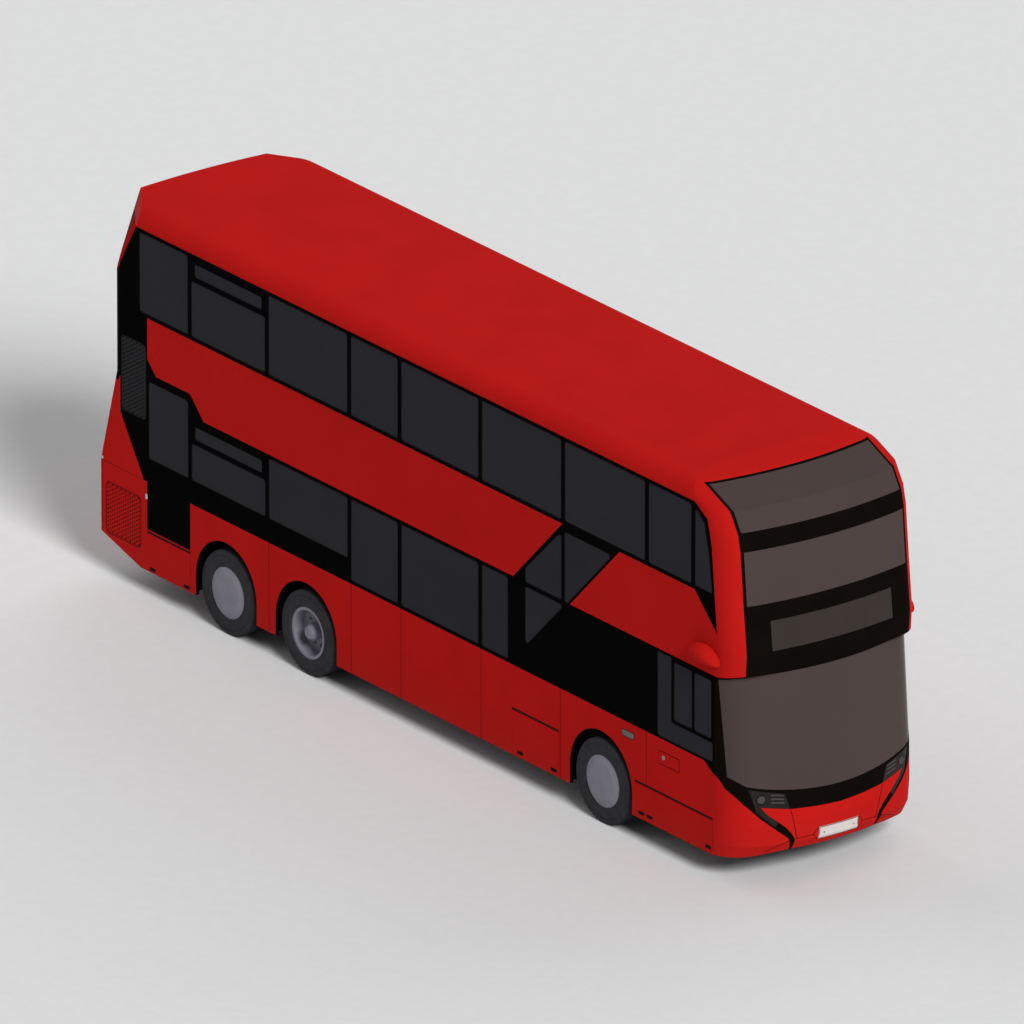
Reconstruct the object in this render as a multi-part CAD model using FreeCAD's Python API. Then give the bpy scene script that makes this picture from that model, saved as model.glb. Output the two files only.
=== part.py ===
"""Three-axle double decker bus, built panel by panel around its two saloons.

Frame: millimetres, +X forward, +Y to the bus's left, +Z up, origin on the
ground under the middle of the bus.  Stations along the bus are measured from
the nearer axle, so that a longer wheelbase lengthens the bay that spans it.
"""
import FreeCAD, Part
import math
import os

V = FreeCAD.Vector

# ---------------------------------------------------------------- main sizes
WHEELBASE = 5380.0          # front axle to drive axle
TAG_SPACING = 1475.0        # drive axle to tag axle
FRONT_OVERHANG = 2620.0     # front axle to the nose
REAR_OVERHANG = 3815.0      # drive axle to the rear bumper
WIDTH = 2550.0
ROOF_Z = 4550.0             # crown of the roof
WALL = 45.0                 # side walls, roof and end shells
SEAM = 0.3                  # gap between pieces that meet
SWING_GAP = 6.0             # gap round a piece that moves

LENGTH = FRONT_OVERHANG + WHEELBASE + REAR_OVERHANG
TAIL_X = -LENGTH / 2
DRIVE_X = TAIL_X + REAR_OVERHANG
TAG_X = DRIVE_X - TAG_SPACING
FRONT_X = DRIVE_X + WHEELBASE
NOSE_X = FRONT_X + FRONT_OVERHANG
HALF = WIDTH / 2
INNER = HALF - WALL         # inner face of a side wall


def aft(distance):
    """Station measured forward from the drive axle."""
    return DRIVE_X + distance


def fwd(distance):
    """Station measured forward from the front axle."""
    return FRONT_X + distance


# ------------------------------------------------------------ heights
SKIRT_Z = 292.0             # lower edge of the side panels
WAIST_Z = 1350.0            # skirt panels meet the lower window band
DECK_Z = 2392.0             # top of the lower window band, underside of the upper floor
BROW_Z = DECK_Z + 60.0      # lower edge of the upper front over the windscreen
RAIL_Z = 3292.0             # between-decks panel meets the upper window band
CANT_Z = ROOF_Z - 235.0     # upper window band meets the roof
UPPER_TOP_Z = ROOF_Z - 80.0         # head of the roof-edge screen
UPPER_MID = (CANT_Z - 445.0, CANT_Z - 245.0)    # dark bar between the two upper screens
UPPER_LOW_Z = 3255.0        # sill of the upper windscreen
TIP_Z = 2892.0              # lower tip of the upper window band at the front
NOSE_KINK_Z = 2700.0        # the upper front is upright below this, and leans back above
BAND_TOP_Z = CANT_Z - 135.0         # front corner of the upper window band

# ------------------------------------------------------------ windows
PILLAR = 60.0               # black pillar between two panes
PANE = 10.0                 # glass thickness
PANE_INSET = 2.0            # glass lies this far inside the wall's face
PANE_CORNER = 35.0
UPPER_SILL_Z = RAIL_Z + 43.0
UPPER_HEAD_Z = CANT_Z - 42.0
LOWER_SILL_Z = WAIST_Z + 38.0
RAISED_SILL_Z = 1635.0      # sill of the windows beside the rear wheels
LOWER_HEAD_Z = DECK_Z - 42.0
UPPER_TAIL_PANE_X = aft(-3068)
LOWER_TAIL_PANE_X = aft(-2903)
TAIL_PANE_HEAD_Z = 2554.0
# middle of each pillar, from the rear; both decks share them
PILLARS = [aft(-2138), aft(-712), aft(799), aft(1720), fwd(-2192), fwd(-689), fwd(823),
           fwd(1654)]
HOPPER_BAY = 1              # this bay has a narrow opening pane over its main pane
HOPPER_DROP = 277.0         # head of the bay down to the main pane
HOPPER_TOP = 62.0           # head of the bay down to the opening pane
HOPPER_PANE = 157.0         # height of the opening pane

# ------------------------------------------------------------ nose and tail
LOWER_NOSE_R = 3050.0       # bow of the lower front in plan
LOWER_CORNER_R = 450.0
UPPER_NOSE_R = 5000.0
UPPER_CORNER_R = 350.0
# (height, set back of the centre line from the foremost point)
LOWER_NOSE = [(SKIRT_Z, 120.0), (450.0, 25.0), (700.0, 0.0), (1100.0, 5.0),
              (BROW_Z, 110.0)]
UPPER_NOSE = [(DECK_Z, 95.0), (NOSE_KINK_Z, 71.0), (UPPER_LOW_Z, 131.0), (UPPER_MID[0], 189.0),
              (UPPER_MID[1], 236.0), (CANT_Z - 27.0, 375.0), (ROOF_Z - 50.0, 885.0),
              (ROOF_Z + 30.0, 1500.0)]
BUSTLE_Z = 1354.0           # top of the engine bay's upright rear face
SLOPE_TOP_Z = 2480.0        # top of the sloping rear face
REAR_FACE_SET = 215.0       # upper rear face in front of the bumper
REAR_CORNER_R = 170.0
BUSTLE_CORNER_R = 30.0
# rear roof corner: facet through these four points, as set in from the tail,
# distance from the middle plane, height
FACET_X = 685.0
FACET = [(REAR_FACE_SET, 875.0, ROOF_Z - 50.0), (REAR_FACE_SET, 1120.0, UPPER_MID[0]),
         (FACET_X, HALF, CANT_Z)]
ROOF_EDGE_Y = 1060.0        # roof crown meets the rounded cantrail
ROOF_EDGE_Z = ROOF_Z - 30.0
FRONT_SEAM = fwd(2030)      # side panels meet the lower front
BLACK_EDGE_TOP_X = fwd(1686)
BROW_X = fwd(2370)          # the brow is level ahead of this

# ------------------------------------------------------------ floors
FLOOR_Z = 380.0             # low floor of the lower saloon
FLOOR_T = 60.0
RAISED_FLOOR_Z = 1000.0     # floor over the rear axles and engine
RISER_X = aft(690)          # riser between the two
UPPER_FLOOR_T = 80.0
UPPER_FLOOR_Z = DECK_Z + UPPER_FLOOR_T

# ------------------------------------------------------------ wheels
TYRE_R = 492.5
TYRE_W = 275.0
RIM_R = 297.0
TWIN_GAP = 45.0
TYRE_SET = 15.0             # tyre's outer face inside the body side
ARCH_R = 563.0
ARCH_Z = 530.0              # centre height of the arch curve
STUB_R = 45.0               # stub axle that the hub turns on
RUNNING = 0.05              # radial clearance of the hub on its stub
KINGPIN_Y = 900.0
KINGPIN_R = 30.0
LINER_T = 15.0
FRONT_LINER_R = 660.0       # room for the wheel on full lock
REAR_LINER_R = 590.0
FRONT_LINER_Y = 560.0       # inner wall of the front wheelhouse
REAR_LINER_Y = 610.0
WHEEL_Y = HALF - TYRE_SET   # outer face of every outer tyre

# ------------------------------------------------------------ doorway, left front
DOOR_REAR_X = fwd(800)
DOOR_FRONT_X = fwd(1880)
DOOR_HEAD_Z = 2300.0
DOOR_T = 40.0
DOOR_FRAME = 55.0
PIN_R = 9.0

# ------------------------------------------------------------ stairs, right side
STEP_COUNT = 10
STEP_GOING = 200.0
STAIR_FOOT_X = fwd(-1560)
STAIR_Y0 = -INNER + 4.0     # outboard side of the stairs
STAIR_WIDTH = 600.0
STAIR_SOFFIT = 210.0        # depth of the flight under its steps


# ---------------------------------------------------------------- helpers
def box(x0, x1, y0, y1, z0, z1):
    """Box between two opposite corners, given as pairs of limits."""
    lows = V(min(x0, x1), min(y0, y1), min(z0, z1))
    return Part.makeBox(abs(x1 - x0), abs(y1 - y0), abs(z1 - z0), lows)


def rod(start, end, radius):
    """Solid round bar from start to end."""
    along = end - start
    return Part.makeCylinder(radius, along.Length, start, along)


def fuse(shapes):
    """One shape from many that touch or overlap."""
    first = shapes[0]
    return first.multiFuse(shapes[1:]).removeSplitter() if len(shapes) > 1 else first


def group(shapes):
    """Several solids that do not touch, as one shape."""
    return Part.makeCompound([s for shape in shapes for s in shape.Solids])


def mirrored(shape):
    """The same piece on the other side of the bus."""
    return shape.mirror(V(0, 0, 0), V(0, 1, 0))


def rounded_wire(corners, radius):
    """Closed wire through corners, each turned with an arc where there is room."""
    count = len(corners)
    cuts = []
    for i, corner in enumerate(corners):
        back = corners[i - 1] - corner
        ahead = corners[(i + 1) % count] - corner
        half = back.getAngle(ahead) / 2
        reach = min(radius / math.tan(half), 0.45 * back.Length, 0.45 * ahead.Length)
        bisector = (back.normalize() + ahead.normalize()).normalize()
        arc_r = reach * math.tan(half)
        centre = corner + bisector * (reach / math.cos(half))
        cuts.append((corner + back * reach, centre - bisector * arc_r, corner + ahead * reach))
    edges = []
    for i, (start, middle, end) in enumerate(cuts):
        edges.append(Part.Arc(start, middle, end).toShape())
        edges.append(Part.makeLine(end, cuts[(i + 1) % count][0]))
    return Part.Wire(edges)


def prism_xz(points, y0, y1, radius=0.0):
    """Side-view outline of (x, z) points, extruded across the bus."""
    corners = [V(x, y0, z) for x, z in points]
    wire = rounded_wire(corners, radius) if radius else Part.makePolygon(corners + corners[:1])
    return Part.Face(wire).extrude(V(0, y1 - y0, 0))


def prism_yz(points, x0, x1, radius=0.0):
    """Front-view outline of (y, z) points, extruded along the bus."""
    corners = [V(x0, y, z) for y, z in points]
    wire = rounded_wire(corners, radius) if radius else Part.makePolygon(corners + corners[:1])
    return Part.Face(wire).extrude(V(x1 - x0, 0, 0))


def rect(x0, x1, z0, z1):
    """Corners of an upright rectangle in side view."""
    return [(x0, z0), (x1, z0), (x1, z1), (x0, z1)]


def both_halves(points):
    """Front-view outline from its left half, mirrored about the middle plane."""
    return points + [(-y, z) for y, z in reversed(points) if y != 0]


def revolved(profile, centre, side):
    """Ring turned about the wheel axis from (distance inboard, radius) points."""
    corners = [centre + V(0, -side * inboard, radius) for inboard, radius in profile]
    face = Part.Face(Part.makePolygon(corners + corners[:1]))
    return face.revolve(centre, V(0, 1, 0), 360)


# ---------------------------------------------------------------- body envelope
TAIL_STATIONS = [  # height, set in from the bumper, corner radius
    (SKIRT_Z, 0.0, BUSTLE_CORNER_R), (BUSTLE_Z, 0.0, BUSTLE_CORNER_R),
    (SLOPE_TOP_Z, REAR_FACE_SET, REAR_CORNER_R), (ROOF_Z + WALL, REAR_FACE_SET, REAR_CORNER_R),
]


def between(rows, z):
    """Values of the rows of a table at height z, its first column."""
    for low, high in zip(rows, rows[1:]):
        if low[0] <= z <= high[0]:
            share = (z - low[0]) / (high[0] - low[0])
            return [a + share * (b - a) for a, b in zip(low[1:], high[1:])]
    raise ValueError(z)


def nose_edges(z, nose, half, bow, corner):
    """Bowed front with round corners, from the right side to the left."""
    bow_x = nose - bow
    corner_y = half - corner
    corner_x = bow_x + math.sqrt((bow - corner) ** 2 - corner_y ** 2)
    turn = math.atan2(corner_y, corner_x - bow_x)
    mid = (turn + math.pi / 2) / 2

    def on_corner(angle, side):
        return V(corner_x + corner * math.cos(angle), side * (corner_y + corner * math.sin(angle)), z)

    right = [on_corner(math.pi / 2, -1), on_corner(mid, -1), on_corner(turn, -1)]
    left = [on_corner(turn, 1), on_corner(mid, 1), on_corner(math.pi / 2, 1)]
    edges = [Part.Arc(*right).toShape(), Part.Arc(right[2], V(nose, 0, z), left[0]).toShape(),
             Part.Arc(*left).toShape()]
    return edges, right[0], left[2]


def tail_edges(z, tail, half, corner):
    """Flat rear face with round corners, from the left side to the right."""
    y = half - corner
    k = corner * (1 - math.sqrt(0.5))
    left = V(tail + corner, half, z)
    right = V(tail + corner, -half, z)
    edges = [
        Part.Arc(left, V(tail + k, half - k, z), V(tail, y, z)).toShape(),
        Part.makeLine(V(tail, y, z), V(tail, -y, z)),
        Part.Arc(V(tail, -y, z), V(tail + k, -half + k, z), right).toShape(),
    ]
    return edges, left, right


def nose_solid(stations, bow, corner, inset, back):
    """Solid front end through its plan outlines, shrunk by inset, cut straight at the back."""
    half = HALF - inset
    wires = []
    for z, set_back in stations:
        edges, right, left = nose_edges(z, NOSE_X - set_back - inset, half, bow - inset,
                                        corner - inset)
        edges += [Part.makeLine(left, V(back, half, z)),
                  Part.makeLine(V(back, half, z), V(back, -half, z)),
                  Part.makeLine(V(back, -half, z), right)]
        wires.append(Part.Wire(edges))
    return Part.makeLoft(wires, True, True)


def body_solid(stations, bow, corner, inset):
    """One deck of the body as a solid through its plan outlines, shrunk by inset."""
    half = HALF - inset
    low = stations[0][0]
    high = stations[-1][0]
    heights = {z for z, _ in stations} | {row[0] for row in TAIL_STATIONS if low < row[0] < high}
    wires = []
    for z in sorted(heights):
        set_back = between(stations, z)[0]
        set_in, tail_corner = between(TAIL_STATIONS, z)
        front, right, left = nose_edges(z, NOSE_X - set_back - inset, half, bow - inset,
                                        corner - inset)
        rear, rear_left, rear_right = tail_edges(z, TAIL_X + set_in + inset, half,
                                                 max(tail_corner - inset, 10.0))
        edges = (front + [Part.makeLine(left, rear_left)] + rear
                 + [Part.makeLine(rear_right, right)])
        wires.append(Part.Wire(edges))
    return Part.makeLoft(wires, True, True)


def facet_cutter(side, inset):
    """Block that takes off one rear roof corner along its facet."""
    points = [V(TAIL_X + set_in, side * y, z) for set_in, y, z in FACET]
    normal = (points[1] - points[0]).cross(points[2] - points[0]).normalize()
    if normal.z < 0:
        normal = normal * -1
    start = points[0] - normal * inset
    face = Part.makePlane(6000, 6000, start, normal)
    middle = face.CenterOfMass
    face.translate(start - middle)
    return face.extrude(normal * 2000)


def roof_prism(inset):
    """Cross-section of the body under the roof, extruded past both ends."""
    clear = 1.0                 # its upright sides pass just outside the walls
    half = HALF - inset + clear
    edge_y = ROOF_EDGE_Y - inset / 2
    edge_z = ROOF_EDGE_Z - inset
    start = TAIL_X - 100
    low = SKIRT_Z - 50

    def point(y, z):
        return V(start, y, z)

    bulge_y = half - 0.26 * (half - edge_y)
    bulge_z = CANT_Z + 0.68 * (edge_z - CANT_Z)
    edges = [
        Part.makeLine(point(half, low), point(half, CANT_Z)),
        Part.Arc(point(half, CANT_Z), point(bulge_y, bulge_z), point(edge_y, edge_z)).toShape(),
        Part.Arc(point(edge_y, edge_z), point(0, ROOF_Z - inset), point(-edge_y, edge_z)).toShape(),
        Part.Arc(point(-edge_y, edge_z), point(-bulge_y, bulge_z), point(-half, CANT_Z)).toShape(),
        Part.makeLine(point(-half, CANT_Z), point(-half, low)),
        Part.makeLine(point(-half, low), point(half, low)),
    ]
    return Part.Face(Part.Wire(edges)).extrude(V(LENGTH + 200, 0, 0))


def upper_envelope(inset):
    """Upper deck as a solid, shrunk by inset."""
    body = body_solid(UPPER_NOSE, UPPER_NOSE_R, UPPER_CORNER_R, inset).common(roof_prism(inset))
    for side in (-1, 1):
        body = body.cut(facet_cutter(side, inset))
    return body


def lower_envelope(inset):
    """Lower deck as a solid, shrunk by inset."""
    return body_solid(LOWER_NOSE, LOWER_NOSE_R, LOWER_CORNER_R, inset)


UPPER_OUTER = upper_envelope(0.0)
UPPER_SHELL = UPPER_OUTER.cut(upper_envelope(WALL))
LOWER_OUTER = lower_envelope(0.0)
LOWER_INNER = lower_envelope(WALL)
LOWER_SHELL = LOWER_OUTER.cut(LOWER_INNER)


# ---------------------------------------------------------------- side outlines
def tail_edge(z):
    """Station where the flat side ends at the rear, at height z."""
    set_in, corner = between(TAIL_STATIONS, z)
    return TAIL_X + set_in + corner


def flat_front(z):
    """Station where the flat upper side ends at the front, at height z."""
    corner_x = math.sqrt((UPPER_NOSE_R - UPPER_CORNER_R) ** 2 - (HALF - UPPER_CORNER_R) ** 2)
    return NOSE_X - between(UPPER_NOSE, z)[0] - UPPER_NOSE_R + corner_x


BLACK_TAIL_X = aft(-2926)           # between-decks panel starts here
STEP_A_X = aft(-2765)               # rear window surround: stepped upper edge
STEP_B_X = aft(-2134)
STEP_C_X = aft(-1884)
STEP_Z = 2646.0
STEP_TOP_Z = 2808.0
FACET_FOOT_Z = CANT_Z - 515.0       # the roof-corner facet starts here at the flat side
STAIR_DIAG_REAR_X = fwd(-1595)      # stair glazing surround: lower ends of its two diagonals
STAIR_DIAG_FRONT_X = fwd(-564)
DIAGONAL_RUN = 893.0                # how far each diagonal runs forward as it rises
BLACK_TIP_RUN = 1678.0
HAUNCH_X = aft(-3000)               # foot of the black rear edge over the bustle
HAUNCH_Z = 2030.0
INTAKE_X0 = aft(-2938)              # black panel over the rear flap, right side
INTAKE_X1 = aft(-2138)
INTAKE_Z = 788.0
NOSE_BLACK_DROP = 109.0             # waist falls this much to the front seam
NOSE_BLACK_X = fwd(1850)


def side_prism(points, side, radius=0.0, depth=WALL, inset=0.0):
    """Side-view outline as a panel of one side wall."""
    outer = HALF - inset
    return prism_xz(points, side * (outer - depth), side * outer, radius)


def upper_band_outline():
    """Black window band of the upper deck."""
    front = [(flat_front(z), z) for z in (TIP_Z, UPPER_LOW_Z, *UPPER_MID)]
    return ([(tail_edge(RAIL_Z), RAIL_Z), (fwd(BLACK_TIP_RUN), RAIL_Z)] + front
            + [(fwd(1905), BAND_TOP_Z), (BLACK_EDGE_TOP_X, CANT_Z),
               (TAIL_X + FACET_X, CANT_Z), (tail_edge(FACET_FOOT_Z), FACET_FOOT_Z)])


def rear_panel_points():
    """Stepped edge between the rear black surround and the between-decks panel."""
    return [(STEP_C_X, DECK_Z), (STEP_B_X, STEP_Z), (STEP_A_X, STEP_Z),
            (BLACK_TAIL_X, STEP_TOP_Z), (BLACK_TAIL_X, RAIL_Z)]


def lower_band_outline(side):
    """Black window band of the lower deck, with its rear upright."""
    bottom = [(HAUNCH_X, BUSTLE_Z)]
    if side < 0:
        bottom += [(INTAKE_X0, BUSTLE_Z), (INTAKE_X0, INTAKE_Z), (INTAKE_X1, INTAKE_Z),
                   (INTAKE_X1, WAIST_Z)]
    front = [(NOSE_BLACK_X, WAIST_Z), (FRONT_SEAM, WAIST_Z - NOSE_BLACK_DROP), (FRONT_SEAM, DECK_Z)]
    surround = []
    if side < 0:
        surround = [(STAIR_DIAG_FRONT_X, DECK_Z), (STAIR_DIAG_FRONT_X + DIAGONAL_RUN, RAIL_Z),
                    (STAIR_DIAG_REAR_X + DIAGONAL_RUN, RAIL_Z), (STAIR_DIAG_REAR_X, DECK_Z)]
    rear = [(tail_edge(RAIL_Z), RAIL_Z), (tail_edge(SLOPE_TOP_Z), HAUNCH_Z)]
    return bottom + front + surround + rear_panel_points() + rear


# ---------------------------------------------------------------- windows
def bay_panes(x0, x1, z0, z1, hopper):
    """Outlines of the panes of one window bay."""
    if not hopper:
        return [rect(x0, x1, z0, z1)]
    inset = HOPPER_TOP
    return [rect(x0, x1, z0, z1 - HOPPER_DROP),
            rect(x0 + inset, x1 - inset, z1 - HOPPER_TOP - HOPPER_PANE, z1 - HOPPER_TOP)]


def bays(first_x):
    """Limits of the window bays between the shared pillars, from the rear."""
    limits = []
    left = first_x
    for pillar in PILLARS:
        limits.append((left, pillar - PILLAR / 2))
        left = pillar + PILLAR / 2
    return limits


def upper_panes():
    """Upper-deck pane outlines, alike on both sides."""
    outlines = []
    for i, (x0, x1) in enumerate(bays(UPPER_TAIL_PANE_X)):
        outlines += bay_panes(x0, x1, UPPER_SILL_Z, UPPER_HEAD_Z, i == HOPPER_BAY)
    quarter_x = PILLARS[-1] + PILLAR / 2
    kink_z = UPPER_SILL_Z + 0.47 * (UPPER_HEAD_Z - UPPER_SILL_Z)
    outlines.append([(quarter_x, UPPER_SILL_Z), (flat_front(UPPER_SILL_Z) - 35, UPPER_SILL_Z),
                     (flat_front(kink_z) - 55, kink_z), (fwd(1860), BAND_TOP_Z - 60.0),
                     (quarter_x, UPPER_HEAD_Z - 8)])
    return outlines


def lower_panes(side):
    """Lower-deck pane outlines behind the stairs, or behind the doorway."""
    outlines = []
    for i, (x0, x1) in enumerate(bays(LOWER_TAIL_PANE_X)):
        sill = RAISED_SILL_Z if i <= 2 else LOWER_SILL_Z
        head = TAIL_PANE_HEAD_Z if i == 0 else LOWER_HEAD_Z
        if x1 > DOOR_REAR_X:
            x1 = DOOR_REAR_X - 90.0
        if side < 0 and i == 5:
            x1 = STAIR_DIAG_REAR_X - 88.0
        if i <= (5 if side < 0 else 6):
            outlines += bay_panes(x0, x1, sill, head, i == HOPPER_BAY)
    return outlines


def stair_panes():
    """Three panes that follow the stairs, right side."""
    rear = STAIR_DIAG_REAR_X + 220.0
    pillar_x = PILLARS[5]
    x1 = pillar_x - 25.0
    x2 = pillar_x + 25.0
    rise = DIAGONAL_RUN / (RAIL_Z - DECK_Z)
    top_b = RAIL_Z - 80.0
    return [
        [(rear, DECK_Z), (x1, DECK_Z), (x1, RAIL_Z - 92.0), (rear, DECK_Z + 170.0)],
        [(x2, DECK_Z), (x2 + 62.0, DECK_Z), (x2 + 62.0 + (top_b - DECK_Z) * rise, top_b), (x2, top_b)],
        [(rear, RAISED_SILL_Z), (x1, DECK_Z - 96.0), (x1, DECK_Z - 46.0), (rear, DECK_Z - 46.0)],
    ]


CAB_X0 = fwd(1017)
CAB_X1 = fwd(1271)
CAB_X2 = fwd(2012)


def cab_panes():
    """Driver's side window: fixed L-shaped pane and two sliding panes."""
    sill = LOWER_SILL_Z - 15.0
    head = LOWER_HEAD_Z + 15.0
    slider_z = 1604.0
    return [
        [(CAB_X0, sill), (CAB_X2, sill), (CAB_X2, slider_z), (CAB_X1, slider_z), (CAB_X1, head),
         (CAB_X0, head)],
        rect(CAB_X1 + 38.0, fwd(1640), slider_z + 34.0, head - 42.0),
        rect(fwd(1675), fwd(1986), slider_z + 34.0, head - 42.0),
    ]


def pane_holes(outlines, side):
    """Openings cut through a wall for its panes."""
    return [prism_xz(o, side * (INNER - 20), side * (HALF + 20), PANE_CORNER) for o in outlines]


def pane_solids(outlines, side):
    """Panes that sit just clear in their openings."""
    solids = []
    for outline in outlines:
        hole = Part.Face(rounded_wire([V(x, 0, z) for x, z in outline], PANE_CORNER))
        small = hole.makeOffset2D(-SEAM)
        small.translate(V(0, side * (HALF - PANE_INSET - PANE), 0))
        solids.append(small.extrude(V(0, side * PANE, 0)))
    return solids


# ---------------------------------------------------------------- side panels
# flap: (x0, x1, z0, z1, corner radius), right side, each hinged at its top edge
FLAPS = {
    "flap_rear_right": (aft(-2938), aft(-2138), SKIRT_Z, 754.0, 0.0),
    "flap_mid_right": (fwd(-1618), fwd(-760), SKIRT_Z, 831.0, 0.0),
    "flap_front_right": (fwd(609), fwd(2012), SKIRT_Z, 704.0, 0.0),
    "filler_flap_right": (fwd(1044), fwd(1409), 1054.0, 1208.0, 12.0),
}
FLAP_T = 22.0
GRILLE_LOW = (TAIL_X + 112.0, TAIL_X + 762.0, 519.0, 1127.0)
GRILLE_HIGH = (TAIL_X + 400.0, TAIL_X + 862.0, 2065.0, 2958.0)
TAIL_CUT_Z = 515.0                  # rear corner sweeps up to here from the skirt's edge
TAIL_CUT_X = TAIL_X + 758.0


def arch_outline(axle_x):
    """Wheel arch: a half circle on straight sides."""
    start = V(axle_x - ARCH_R, 0, ARCH_Z)
    top = V(axle_x, 0, ARCH_Z + ARCH_R)
    end = V(axle_x + ARCH_R, 0, ARCH_Z)
    low = SKIRT_Z - 20
    edges = [Part.Arc(start, top, end).toShape(), Part.makeLine(end, V(end.x, 0, low)),
             Part.makeLine(V(end.x, 0, low), V(start.x, 0, low)),
             Part.makeLine(V(start.x, 0, low), start)]
    face = Part.Face(Part.Wire(edges))
    face.translate(V(0, -HALF - 50, 0))
    return face.extrude(V(0, WIDTH + 100, 0))


def tail_cut():
    """Wedge under the rear corner, where the skirt sweeps up."""
    return prism_xz([(TAIL_X - 10, SKIRT_Z - 10), (TAIL_CUT_X, SKIRT_Z - 10), (TAIL_CUT_X, SKIRT_Z),
                     (TAIL_X - 10, TAIL_CUT_Z)], -HALF - 50, HALF + 50)


def skirt(side):
    """Red lower side wall, with arches, flap openings and the bustle's side."""
    outline = [(tail_edge(SKIRT_Z), SKIRT_Z), (FRONT_SEAM, SKIRT_Z),
               (FRONT_SEAM, WAIST_Z - NOSE_BLACK_DROP - SEAM), (NOSE_BLACK_X, WAIST_Z - SEAM)]
    if side < 0:
        outline += [(INTAKE_X1 + SEAM, WAIST_Z - SEAM), (INTAKE_X1 + SEAM, INTAKE_Z - SEAM),
                    (INTAKE_X0 - SEAM, INTAKE_Z - SEAM), (INTAKE_X0 - SEAM, BUSTLE_Z - SEAM)]
    outline += [(HAUNCH_X, BUSTLE_Z - SEAM), (tail_edge(SLOPE_TOP_Z), HAUNCH_Z),
                (tail_edge(SLOPE_TOP_Z), SLOPE_TOP_Z), (tail_edge(BUSTLE_Z), BUSTLE_Z)]
    wall = side_prism(outline, side, depth=WALL + 5.0, inset=-5.0).common(LOWER_OUTER)
    holes = [arch_outline(x) for x in (FRONT_X, DRIVE_X, TAG_X)] + [tail_cut()]
    x0, x1, z0, z1 = GRILLE_LOW
    holes.append(prism_xz(rect(x0, x1, z0, z1), side * (INNER - 20), side * (HALF + 20), 60.0))
    if side < 0:
        for x0, x1, z0, z1, radius in FLAPS.values():
            low = z0 - 20 if z0 <= SKIRT_Z else z0
            holes.append(prism_xz(rect(x0, x1, low, z1), -INNER + 20, -HALF - 20, radius))
    else:
        holes.append(box(DOOR_REAR_X, DOOR_FRONT_X, INNER - 20, HALF + 20, FLOOR_Z, WAIST_Z + 20))
    return wall.cut(Part.makeCompound(holes))


def lower_band(side):
    """Black window wall of the lower deck."""
    whole = side_prism(lower_band_outline(side), side)
    low = side_prism(lower_band_outline(side), side, depth=WALL + 5.0, inset=-5.0)
    low_part = low.common(LOWER_OUTER).common(box(TAIL_X, NOSE_X, -HALF, HALF, SKIRT_Z, DECK_Z))
    high_part = whole.common(box(TAIL_X, NOSE_X, -HALF - 50, HALF + 50, DECK_Z, ROOF_Z))
    wall = low_part.fuse(high_part).removeSplitter()
    outlines = lower_panes(side)
    if side < 0:
        outlines = outlines + stair_panes() + cab_panes()
    holes = pane_holes(outlines, side)
    x0, x1, z0, z1 = GRILLE_HIGH
    holes.append(prism_xz(rect(x0, x1, z0, z1), side * (INNER - 20), side * (HALF + 20), 60.0))
    if side > 0:
        holes.append(box(DOOR_REAR_X, DOOR_FRONT_X, INNER - 20, HALF + 20, WAIST_Z - 200,
                         DOOR_HEAD_Z))
    return wall.cut(Part.makeCompound(holes))


def mid_panel(side):
    """Red panel between the decks; the stair glazing parts the right one in two."""
    low = DECK_Z + SEAM
    high = RAIL_Z - SEAM
    rear = rear_panel_points()[::-1]
    rear = [(x + SEAM, z) for x, z in rear[:-1]] + [(STEP_C_X + SEAM, low)]
    rear[0] = (rear[0][0], high)
    nose_end = [(flat_front(low), low), (flat_front(NOSE_KINK_Z), NOSE_KINK_Z),
                (flat_front(TIP_Z), TIP_Z - SEAM), (fwd(BLACK_TIP_RUN), high)]
    if side > 0:
        return side_prism(rear + nose_end, side)
    rear_part = rear + [(STAIR_DIAG_REAR_X - SEAM, low),
                        (STAIR_DIAG_REAR_X + DIAGONAL_RUN - 2 * SEAM, high)]
    front_part = ([(STAIR_DIAG_FRONT_X + SEAM, low)] + nose_end
                  + [(STAIR_DIAG_FRONT_X + DIAGONAL_RUN + SEAM, high)])
    return group([side_prism(rear_part, side), side_prism(front_part, side)])


def upper_band(side):
    """Black window wall of the upper deck."""
    wall = side_prism(upper_band_outline(), side)
    return wall.cut(Part.makeCompound(pane_holes(upper_panes(), side)))


def side_glazing(side):
    """All the fixed glass of one side."""
    outlines = upper_panes() + lower_panes(side)
    if side < 0:
        outlines = outlines + stair_panes() + cab_panes()
    return group(pane_solids(outlines, side))


def side_grilles():
    """Mesh panels over the engine bay's air ways, as slatted plates."""
    solids = []
    for side in (-1, 1):
        for x0, x1, z0, z1 in (GRILLE_LOW, GRILLE_HIGH):
            face = Part.Face(rounded_wire([V(x, 0, z) for x, z in rect(x0, x1, z0, z1)], 60.0))
            small = face.makeOffset2D(-SEAM)
            small.translate(V(0, side * (HALF - 8 - 14), 0))
            plate = small.extrude(V(0, side * 14, 0))
            solids.append(plate)
    return group(solids)


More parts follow.
